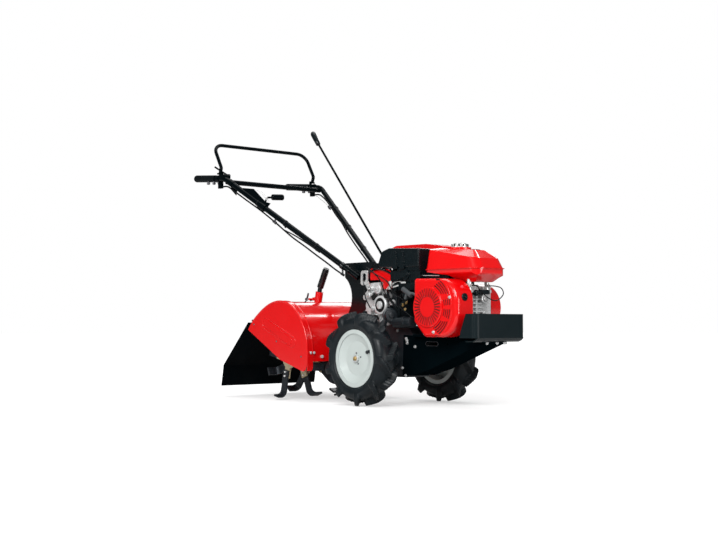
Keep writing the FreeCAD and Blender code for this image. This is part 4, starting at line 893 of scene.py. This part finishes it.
# %% Rim, screws, switch and button
RIM_RADIUS = 0.130
RIM_ANGLES = range(-52, 56, 6)
COVER_SCREWS = ((424, 428), (336, 296))  # x, z
SWITCH = [(-1, 15), (3, 15), (4.5, 13.5), (4.5, 8), (2, 7), (2, 3), (8, 3), (9, 2)]
BUTTON = [(-1, 7), (2, 7), (3, 5.5), (5, 5), (6, 4)]
COLLAR = [(-2, 6.5), (1.5, 6), (2, 5)]


def on_front_wall(y, z):
    """Where a ray from ahead meets the fan cover's front wall."""
    return land("fan_cover", at(560, y, z), BACK)


cover_low, cover_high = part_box("fan_cover")
fan = middle("recoil_housing")
fan.y = cover_low.y
turns = [math.radians(angle) for angle in RIM_ANGLES]
arc = [fan + Vector((math.cos(t), 0, math.sin(t))) * RIM_RADIUS for t in turns]
Part("cover_rim").tube(arc, 1.8, sides=8).done("red")
screws = Part("cover_screws")
for x, z in COVER_SCREWS:
    place = at(x, fan.y / MM, z)
    screws.turned(place, OUTWARDS, COLLAR)
    hexagon_bolt(screws, place + Vector((0, -0.002, 0)), OUTWARDS, 7, washer=False)
screws.done("bright_metal", finish=bolt_steel)
spot = on_front_wall(-108, 429)
Part("engine_switch").turned(spot, FORWARDS, SWITCH).done("black_plastic")
button = Part("engine_button").turned(on_front_wall(-104, 467), FORWARDS, BUTTON, sides=16)
button.done("grey_plastic", finish=button_red)
told()

# %% [markdown]
# ## Painted shade behind the slots
# Behind the cover's slots a real fan spins in the dark. No fan is built: one dull black
# disc lies behind the round housing's slots, and a sector behind those of the cover, and
# both paint that shade. The sector is cut to stay inside the cover.

# %% Painted shade behind the slots
SECTOR_RADIUS, SECTOR_ANGLES = 0.121, range(-72, 75, 7)
SECTOR_DEPTH, DISC_DEPTH = 0.0016, -0.0054  # inwards from the cover's outer face
COVER_WALL = 0.004


def sector_corner(angle):
    """A corner of the sector, or nearer the fan where the cover is too low for it."""
    turn = math.radians(angle)
    room = (cover_high.z - fan.z if turn > 0 else fan.z - cover_low.z) - COVER_WALL
    reach = min(SECTOR_RADIUS, room / max(abs(math.sin(turn)), 0.01))
    return fan + Vector((reach * math.cos(turn), SECTOR_DEPTH, reach * math.sin(turn)))


disc = fan + Vector((0, DISC_DEPTH, 0))
sector = [sector_corner(angle) for angle in SECTOR_ANGLES]
# The disc and the sector are painted shade.
dark = Part("fan_slot_painted_shade").turned(disc, (0, 1, 0), [(0, 75), (1.2, 75)], sides=48)
dark.slab(sector, 2).done("black_plastic", finish=flat_black_painted_shade)
told()

# %% [markdown]
# ## The selector drum and the hoses
# The corner between the gearbox and the fan is open, and what shows there makes the
# engine look like one. A cast selector drum points forwards in two steps, with a bright
# ring on its end, and rubber breather hoses bend down past it. The drum is turned, and
# the hoses are tubes along smooth lines.

# %% Drum, ring and hoses
DRUM_PLACE, DRUM_AXIS = at(30, -98, 362), (0.9, -0.45, 0)
DRUM = [(-26, 18), (-20, 27), (-4, 27), (-2, 31), (4, 31), (6, 26), (22, 24), (24, 12),
        (30, 11), (31, 8)]
SPINDLE = [(-30, 17), (40, 17), (42, 20), (50, 20), (52, 15), (84, 14), (86, 9)]
RING = [(6, 22), (9, 22), (10, 19.5), (7, 19.5)]
HOSES = (  # radius, and the places it goes through
    (7, ((150, -62, 452), (128, -88, 430), (96, -104, 396), (84, -98, 362), (70, -88, 346))),
    (5, ((8, -92, 458), (36, -106, 430), (64, -104, 402), (74, -90, 372))),
    (22, ((24, -46, 552), (26, -56, 530), (38, -64, 508), (60, -70, 496))))

drum = Part("selector_drum").turned(DRUM_PLACE, DRUM_AXIS, DRUM)
drum.turned(at(66, -92, 338), FORWARDS, SPINDLE).done("casting_dark")
ring = Part("drum_ring").turned(DRUM_PLACE, DRUM_AXIS, RING, sides=32)
ring.done("bright_metal", finish=bolt_steel)
hose = Part("breather_hose")
for radius, line in HOSES:
    hose.tube(smooth_path(places(line)), radius, sides=20 if radius > 10 else 12)
hose.done("grip_rubber")
told()

# %% [markdown]
# ## Fittings, springs and wires
# Brass fittings join the fuel pipes, return springs pull the throttle's links back, and
# thin black wires loop down to the drum. They are small, but their brass and bright steel
# are what the eye finds in a dark corner.

# %% Fittings, springs and wires
FITTING = [(-12, 3), (-4, 3), (-4, 5.4), (2, 5.4), (2, 3.4), (9, 3.4), (10, 2.4)]
FITTINGS = (((108, -100, 402), (0.6, -0.5, 0.5)), ((128, -98, 412), (0.8, -0.3, 0.4)),
            ((118, -96, 386), (0.7, -0.6, -0.3)))  # place, axis
SPRING_HOOK = ((56, -96, 494), (84, -98, 498), (96, -90, 492))
LINK_ROD = ((188, -80, 519), (296, -80, 515))
LOWER_ROD = ((244, -78, 505), (300, -80, 501), (356, -76, 498))
WIRES = (
    ((-120, -92, 560), (-70, -104, 540), (-20, -108, 505), (12, -112, 458), (52, -112, 420),
     (100, -96, 380)),
    ((-110, -90, 552), (-40, -110, 528), (30, -116, 500), (70, -114, 452), (120, -104, 420)),
    ((150, -100, 470), (110, -114, 440), (100, -112, 400), (130, -100, 372), (160, -90, 350)),
    ((-146, -86, 520), (-128, -100, 470), (-112, -104, 430), (-80, -108, 392)))

fittings = Part("brass_fittings")
for place, way in FITTINGS:
    fittings.turned(at(*place), way, FITTING, sides=12)
fittings.done("bright_metal", finish=brass)
springs = Part("return_springs")
coil(springs, at(4, -90, 470), at(56, -96, 494), radius=3.6, turns=9, wire=0.9)
coil(springs, at(150, -78, 508), at(196, -78, 520), radius=2.8, turns=8, wire=0.8)
springs.tube(smooth_path(places(SPRING_HOOK), 4), 1.2, sides=8)
springs.tube(places(LINK_ROD), 1.4, sides=8)
springs.tube(smooth_path(places(LOWER_ROD), 4), 1.4, sides=8)
springs.done("bright_metal", finish=pale_metal)
wires = Part("engine_wires")
for line in WIRES:
    wires.tube(smooth_path(places(line)), 2.4, sides=8)
wires.done("cable_black")
told()

# %% [markdown]
# ## Cast bosses, and painted shade in their hollows
# Cast lugs carry the screws of the gearbox's upper casting. Each is a short turned step,
# and dull black rings and patches paint the shade in the hollows between its ribs. Real
# hollows would have to be cut out of the solid, and here painted shade stands for them.

# %% Bosses, painted shade in the hollows, and their screws
UPPER_BOSS, LOWER_BOSS = at(-52, -88, 472), at(-38, -88, 404)
UPPER_STEPS = [(-2, 22), (6, 21), (8, 18), (8, 14), (12, 13), (13, 10)]
LOWER_STEPS = [(-2, 40), (4, 39), (6, 36), (6, 30), (3, 29), (3, 17), (9, 16), (10, 13)]
LUG_PLACES = ((-104, 472), (-108, 447), (32, 414), (-84, 392), (14, 372))  # x, z
LUG_TOP, BOSS_TOP = -94, -101  # y under a lug's screw and under the upper boss's
HOLLOW_SHADE_PATCHES = (((-96, 440), (-74, 452), (-62, 440), (-84, 424)),
           ((-20, 452), (4, 446), (2, 430), (-14, 434)),
           ((-78, 366), (-56, 362), (-50, 346), (-72, 340)))  # x, z of their corners

lugs = Part("cast_lugs").turned(UPPER_BOSS, OUTWARDS, UPPER_STEPS)
lugs.turned(LOWER_BOSS, OUTWARDS, LOWER_STEPS)
for x, z in LUG_PLACES:
    lugs.turned(at(x, -84, z), OUTWARDS, [(-4, 12), (9, 11), (10, 9.5)], sides=18)
lugs.done("casting")
# Dull black rings and patches: painted shade in the hollows.
hollow_shade_patches = Part("cast_hollow_painted_shade")
hollow_shade_patches.turned(LOWER_BOSS, OUTWARDS, [(2, 30.5), (4.5, 30.5), (4.5, 16), (2, 16)], sides=32)
hollow_shade_patches.turned(UPPER_BOSS, OUTWARDS, [(5, 19.5), (7, 19.5), (7, 14.5), (5, 14.5)], sides=28)
for corners in HOLLOW_SHADE_PATCHES:
    hollow_shade_patches.slab([at(x, -86, z) for x, z in corners], 6)
hollow_shade_patches.done("casting_dark", finish=flat_black_painted_shade)
lug_screws = Part("lug_screws")
for x, z in LUG_PLACES:
    hexagon_bolt(lug_screws, at(x, LUG_TOP, z), OUTWARDS, 9)
hexagon_bolt(lug_screws, at(-52, BOSS_TOP, 472), OUTWARDS, 9)
lug_screws.done("bright_metal", finish=bolt_steel)
told()

# %% [markdown]
# ## Brackets by the carburettor
# Bright bent strips hold the throttle's links, and a black strap crosses above them. The
# strips are slabs with rounded edges, from a Bevel modifier, and the strap is a tube.

# %% Strips and strap
STRIPS = (((32, -104, 500), (46, -104, 500), (46, -104, 466), (32, -104, 466)),
          ((104, -104, 496), (130, -104, 496), (130, -104, 489), (104, -104, 489)),
          ((60, -108, 478), (92, -108, 484), (92, -108, 478), (60, -108, 472)))
STRAP = ((-112, -88, 540), (-70, -90, 552), (-20, -90, 548), (30, -88, 528), (52, -84, 505))

strips = Part("carburettor_strips")
for corners in STRIPS:
    strips.slab(places(corners), 3)
strips.done("bright_metal", finish=pale_metal, bevel=0.8)
Part("bracket_strap").tube(smooth_path(places(STRAP)), 4.5).done("black")
told()

# %% [markdown]
# ## The tank's cap and gauge
# The cap has grip notches round its edge and a raised disc on top. Real notches would be
# cuts in the solid; thin dark slabs at its edge paint their shade instead. A low round
# gauge window sits ahead of the cap on the sloping tank. Two rays give the tank's slope,
# so that the window's axis stands square to it.

# %% Cap and gauge
NOTCHES = 12
NOTCH_HALF, NOTCH_HEIGHT = 0.0032, 0.009
CAP_DISC = [(-1, 21), (0.8, 20), (1.2, 14), (2.6, 12), (3, 9)]
GAUGE = [(-2, 19), (1.6, 18.5), (2.4, 17), (2.4, 14), (1.2, 13)]

cap_low, cap_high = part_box("tank_cap")
cap_centre = (cap_low + cap_high) / 2
cap_radius = (cap_high.x - cap_low.x) / 2
# Thin dark slabs: painted shade of the notches.
painted_notch_shade = Part("cap_notch_painted_shade")
for step in range(NOTCHES):
    turn = math.tau * (step + 0.3) / NOTCHES
    out = Vector((math.cos(turn), math.sin(turn), 0))
    half = Vector((-out.y, out.x, 0)) * NOTCH_HALF
    foot = Vector((cap_centre.x, cap_centre.y, cap_low.z + 0.004)) + out * (cap_radius + 0.0006)
    head = foot + Vector((0, 0, NOTCH_HEIGHT))
    painted_notch_shade.slab([foot - half, foot + half, head + half, head - half], 1.5)
painted_notch_shade.done("bright_metal", finish=flat_black_painted_shade, bevel=0.3)
top = Vector((cap_centre.x, cap_centre.y, cap_high.z))
Part("cap_disc").turned(top, UP, CAP_DISC, sides=32).done("bright_metal")
spot, ahead = (land("fuel_tank", at(x, 0, 700), DOWN) for x in (414, 424))
slope = Vector((spot.z - ahead.z, 0, ahead.x - spot.x))
Part("tank_gauge").turned(spot, slope, GAUGE, sides=32).done("black_plastic")
told()

# %% [markdown]
# ## The engine's front
# The ignition coil hangs on the crankcase's front, among bolts that land on the casting,
# and a stepped boss covers the crankshaft's end. The coil is a turned core in a slab, and
# a rounded edge makes it look moulded.

# %% Coil, bolts and boss
COIL_CORE = [(-30, 9), (-28, 12), (8, 12), (10, 9)]
COIL_CASE = ((474, -34, 440), (474, 18, 440), (474, 18, 458), (474, -34, 458))
FRONT_BOLTS = ((-50, 452), (30, 440), (52, 412), (-48, 380), (30, 372))  # y, z
CRANK_BOSS = [(-6, 20), (5, 19), (7, 16), (7, 11), (10, 10), (11, 8)]


def on_crankcase(y, z):
    """Where a ray from ahead meets the crankcase."""
    return land("crankcase", at(600, y, z), BACK)


core = Part("ignition_coil").turned(at(452, -14, 446), (0, 1, 0), COIL_CORE, sides=20)
core.slab(places(COIL_CASE), 14).done("black_plastic", bevel=2.0)
bolts = Part("front_bolts")
for y, z in FRONT_BOLTS:
    hexagon_bolt(bolts, on_crankcase(y, z), FORWARDS, 9)
bolts.done("bright_metal", finish=bolt_steel)
Part("crank_boss").turned(on_crankcase(30, 424), FORWARDS, CRANK_BOSS).done("casting")
told()

# %% [markdown]
# ## Frame bolts
# Bolts hold the side plates to the gearbox and the bumper's shelf to the plates, and a
# bright rim lines the long slot of each plate. The rim is a thin closed tube round the
# slot, at the depth where a ray meets the plate.

# %% Bolts and slot rims on the frame
PLATE_BOLTS = ((93, 260), (140, 236))  # x, z
SHELF_BOLTS = (-48, 8, 48)  # y
SLOT_ENDS, SLOT_HEIGHT, SLOT_HALF = (209, 263), 249, 8  # x of its round ends, z, radius

plate_bolts = Part("plate_bolts")
rims = Part("slot_rims")
for sign in (1, -1):
    for x, z in PLATE_BOLTS:
        spot = land("frame_plates", at(x, sign * 200, z), (0, -sign, 0))
        hexagon_bolt(plate_bolts, spot, (0, sign, 0), 9)
    spot = land("frame_plates", at(180, sign * 200, SLOT_HEIGHT), (0, -sign, 0))
    outline = []
    for x, first in zip(SLOT_ENDS, (90, 270)):
        for step in range(7):
            turn = math.radians(first + step * 30)
            ahead, above = SLOT_HALF * math.cos(turn), SLOT_HALF * math.sin(turn)
            place = at(x + ahead, 0, SLOT_HEIGHT + above)
            outline.append(Vector((place.x, spot.y, place.z)))
    rims.tube(outline, 0.9, sides=8, closed=True)
for y in SHELF_BOLTS:
    hexagon_bolt(plate_bolts, land("bumper_bracket", at(700, y, 255), BACK), FORWARDS, 9)
plate_bolts.done("bright_metal", finish=bolt_steel)
rims.done("dark_steel")
told()

# %% [markdown]
# ## Bolts on the tine holders
# Two bolts clamp each tine to its arm, seen from both faces. The arms' places follow from
# the reel's centre, so three nested loops give all of them, and the bolts ride on the reel.

# %% Tine bolts
STATIONS = ((80, 125), (144, 159), (206, 101))  # y, and the first arm's angle
ARMS = 4
BOLT_REACHES = (0.058, 0.076)  # from the shaft along an arm
OTHER_SIDE = 45  # degrees by which the left half is turned from the right one

shaft = middle("reel_shaft")
for side, sign in SIDES:
    bolts = Part("tine_bolts_" + side)
    holders = f"tine_holders_{side} tines_{side}"
    for station, turn in STATIONS:
        for arm in range(ARMS):
            angle = math.radians(turn + arm * 360 / ARMS + (OTHER_SIDE if sign > 0 else 0))
            way = Vector((math.sin(angle), 0, math.cos(angle)))
            for reach in BOLT_REACHES:
                for face in (1, -1):
                    start = shaft + way * reach
                    start.y = (sign * station + face * 23.5) * MM
                    spot = land(holders, start, (0, -face, 0))
                    hexagon_bolt(bolts, spot, (0, face, 0), 8, washer=False)
    bolts.done("bright_metal", "tine_reel", pale_metal)
told()

# %% [markdown]
# ## Cables on the handle tubes
# Ties hold each cable under its tube, and each cable has a threaded adjuster, clipped to
# the tube, near its lever. A straight tube is a line between two places, so every piece
# on it comes from a share of that line. All of them ride on the handlebar.

# %% Ties and adjusters
TUBE_FOOT, TUBE_KNEE = (-196, 72, 522), (-888, 278, 986)  # x, out from the middle, z
TIE_SHARES = (0.30, 0.53, 0.74)
CABLE_BELOW = Vector((0, 0, -0.0165))
TIE = [(-4, 13.2), (-3.2, 14.2), (3.2, 14.2), (4, 13.2)]
ADJUSTER = [(-14, 2.6), (-8, 2.6), (-8, 6), (-3, 6), (-3, 4), (4, 4), (4, 7), (10, 7),
            (10, 4), (22, 3)]
ADJUSTERS = (((-742, 212, 876), -735), ((-620, -198, 776), -610))  # place, x of its clip


def tube_line(x):
    """How far out and how high the middle of a handle tube is at x, in millimetres."""
    share = (x - TUBE_FOOT[0]) / (TUBE_KNEE[0] - TUBE_FOOT[0])
    return [low + share * (high - low) for low, high in zip(TUBE_FOOT[1:], TUBE_KNEE[1:])]


def tube_at(x, sign):
    """The middle of the left or right tube at x."""
    out, height = tube_line(x)
    return at(x, sign * out, height)


for side, sign in SIDES:
    low_end, top_end = (tube_at(x, sign) for x in (TUBE_FOOT[0], TUBE_KNEE[0]))
    along = (top_end - low_end).normalized()
    ties = Part("cable_ties_" + side)
    for share in TIE_SHARES:
        centre = low_end.lerp(top_end, share)
        ties.turned(centre, along, TIE)
        ties.turned(centre + CABLE_BELOW, along, [(-3.5, 4), (3.5, 4)], sides=12)
    ties.done("cable_black", "handlebar")
adjusters = Part("cable_adjusters")
for place, clip in ADJUSTERS:
    sign = math.copysign(1, place[1])
    x, y, z = (low - high for low, high in zip(TUBE_FOOT, TUBE_KNEE))
    adjusters.turned(at(*place), (x, sign * y, z), ADJUSTER, sides=12)
    adjusters.tube([at(*place), tube_at(clip, sign)], 4, sides=8)
adjusters.done("dark_steel", "handlebar")
told()

# %% [markdown]
# ## Small things on the handlebar
# On the right tube a gusset plate stiffens the hand lever's foot, bright thin wires run
# from it, and a loop of cable dips lower down. They lie in the upright plane through the
# tube, so a list of x and z is enough. Capped bolts stand under the clamps by the grips.

# %% Gusset, wires, loop and bolts
GUSSET = ((-790, 938), (-730, 930), (-666, 868), (-640, 860), (-671, 826), (-746, 884))
THIN_WIRES = (((-716, 924), (-690, 908), (-658, 872)), ((-700, 924), (-674, 902), (-650, 870)))
LEFT_WIRE = ((-932, 281, 954), (-758, 219, 886))
LOOP = ((-606, 767), (-575, 741), (-518, 713), (-441, 668), (-390, 634))
UNDER_BOLTS, GRIP_OUT = ((-978, 979), (-1024, 983)), 279  # x and z, and their distance out
UNDER_BOLT = [(-8, 5.5), (3, 5.5), (3, 8.5), (10, 8.5), (12, 6)]


def on_right_tube(points, inwards=0):
    """Places over and under the right tube, from their x and z."""
    return [at(x, inwards - tube_line(x)[0], z) for x, z in points]


gusset = Part("lever_gusset").slab(on_right_tube(GUSSET), 4)
gusset.done("black", "handlebar", FINISHES["tube_black_painted_shade"], bevel=1.0)
thin_wires = Part("thin_wires")
for line in THIN_WIRES:
    thin_wires.tube(smooth_path(on_right_tube(line), 5), 1.3, sides=6)
thin_wires.tube(places(LEFT_WIRE), 1.3, sides=6)
thin_wires.done("bright_metal", "handlebar", pale_metal)
line = smooth_path(on_right_tube(LOOP, inwards=3), 6)
Part("cable_loop").tube(line, 3).done("cable_black", "handlebar")
under = Part("under_bolts")
for x, z in UNDER_BOLTS:
    for sign in (1, -1):
        under.turned(at(x, sign * GRIP_OUT, z), DOWN, UNDER_BOLT, sides=6)
under.done("dark_steel", "handlebar")
told()

# %% [markdown]
# ## The gear lever's knob
# The knob is a stout moulded handle that swells towards its rounded end. A turned shape
# along the lever's own line gives that swell, and stands for the plain solid one.

# %% Gear knob
# The line runs down the middle of the solid knob, a little inside its box.
knob_low, knob_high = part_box("shift_knob")
start = Vector((knob_high.x - 0.008, 0, knob_low.z + 0.004))
end = Vector((knob_low.x + 0.012, 0, knob_high.z - 0.006))
length = (end - start).length / MM
KNOB = [(0, 7), (2, 10), (length * 0.3, 11), (length * 0.6, 12.2), (length * 0.85, 12.6),
        (length * 0.95, 11), (length + 2, 7), (length + 4, 2.5)]
knob = Part("gear_knob").turned(start, end - start, KNOB, sides=28)
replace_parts(knob.done("black_plastic", sharp=60), "shift_knob")
told()

# %% [markdown]
# ## Nuts beside the frame plate
# Between the wheel and the frame plate the ends of the gearbox bolts show as small
# bright nuts. Which solid is behind each one differs, so the ray may land on any of them.

# %% Gearbox nuts
BEHIND = "frame_plates frame_apron engine_bed gearbox_case axle_housings crankcase"
NUTS = ((112, -102, 268), (118, -102, 250), (90, -102, 150), (108, -102, 120), (60, -107, 300))
INTO = Vector((-0.5, 0.85, 0))

nuts = Part("gearbox_nuts")
for x, y, z in NUTS:
    hexagon_bolt(nuts, land(BEHIND, at(x, y, z) - INTO * 0.2, INTO), OUTWARDS, 9)
nuts.done("bright_metal", finish=bolt_steel)
told()

# %% [markdown]
# ## The tyre's outline
# A farm tyre's lugs melt into the casing with soft edges, which sharp solids can't show.
# Sculpting them would work, but a rule is shorter: each tyre is one closed skin, a ring
# of cross sections that blend from the casing's outline to the lugs' outline where a lug
# crosses them.

# %% The tyre's outline
# Half of a cross section, as (across, radius) in millimetres from the tread's middle: the
# casing's corners, the same corners on a lug, and the wall and bead that bear no lug.
CASING = ((0.0, 168.0), (8.0, 167.8), (16.0, 167.0), (23.0, 165.6), (29.0, 163.6), (34.0, 161.0),
          (38.0, 158.0), (41.0, 154.5), (43.5, 150.0), (45.0, 145.0), (45.7, 140.0), (45.2, 135.0))
CREST = ((0.0, 189.8), (8.2, 189.6), (16.6, 189.0), (24.5, 188.2), (32.0, 187.0), (38.5, 184.0),
         (44.0, 179.4), (47.6, 174.0), (49.4, 166.0), (49.6, 156.0), (48.4, 146.0), (46.4, 137.4))
BARE_WALL = ((43.6, 130.0), (41.6, 126.0), (41.8, 124.6), (40.8, 123.0),
             (38.4, 121.4), (36.0, 118.0), (34.0, 113.0), (33.0, 104.0))
TYRE_HALF = [*zip(CASING, CREST), *zip(BARE_WALL, BARE_WALL)]
print("corners in half a section", len(TYRE_HALF))

# %% [markdown]
# ## Where the lugs are
# Bars of rubber start near the tread's middle and slant outwards, and those of the two
# halves alternate. Their count, slant and height are those of the solid's lugs. One
# function says how much of a lug there is at any place, with soft steps at its sides and
# at its inner end, which gives the rounded edges.

# %% Where the lugs are
LUGS = 9
LUG_SLANT = math.radians(19)
CROSSING = 5  # how far a lug reaches past the tread's middle, in millimetres
LUG_START = -4  # where its rounded inner end begins
LUG_REACH = 55  # over which it slants and widens
LUG_WIDTH, LUG_GAIN = 17.0, 3.0  # half its width at the start, and how much wider it ends
LUG_EDGE, LUG_END = 7.5, 8  # over which its sides and its inner end rise
TREAD_RADIUS = 180  # turns an angle into a length along the tread


def soft_step(value):
    """0 to 1 with a soft start and end, as Blender's smooth falloff."""
    value = min(max(value, 0.0), 1.0)
    return value * value * (3 - 2 * value)


def lug_lift(across, turn):
    """0 between lugs and 1 on top of one, for a place across the tread in millimetres."""
    lift = 0.0
    pitch = math.tau / LUGS
    for sign in (1, -1):
        reach = sign * across + CROSSING
        if reach <= LUG_START:
            continue
        share = min(max(reach, 0) / LUG_REACH, 1.0)
        centre = math.pi / 2 + (share - 0.5) * LUG_SLANT + (pitch / 2 if sign < 0 else 0.0)
        off = abs((turn - centre + pitch / 2) % pitch - pitch / 2) * TREAD_RADIUS
        width = LUG_WIDTH + LUG_GAIN * share
        end = soft_step((reach - LUG_START) / LUG_END)
        lift = max(lift, soft_step((width - off) / LUG_EDGE) * end)
    return lift


print("lugs on each side of the tread", LUGS)

# %% [markdown]
# ## The treads
# The skin goes once round the wheel and closes on itself. Each corner of each section
# moves from the casing towards the crest by the lug's share, and the treads stand for
# the plain solid tyres.

# %% Tyres with rounded lugs
TYRE_RINGS = 432


def tyre_skin(side):
    centre = middle("tyre_" + side)
    left = [((-y, r), (-v, q)) for (y, r), (v, q) in TYRE_HALF[:0:-1]]
    rings = []
    for step in range(TYRE_RINGS):
        turn = math.tau * step / TYRE_RINGS
        ring = []
        for (y, r), (lug_y, lug_r) in left + TYRE_HALF:
            lift = lug_lift(lug_y, turn)
            radius = r + (lug_r - r) * lift
            across = y + (lug_y - y) * lift
            spot = Vector((radius * math.cos(turn), across, radius * math.sin(turn)))
            ring.append(centre + spot * MM)
        rings.append(ring)
    tread = Part("tread_" + side).skin(rings, closed=True)
    return tread.done("tyre", "wheel_" + side, sharp=60)


for side, _ in SIDES:
    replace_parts(tyre_skin(side), "tyre_" + side)
told()

# %% [markdown]
# ## The end

# %% Finish
print("end of the script")
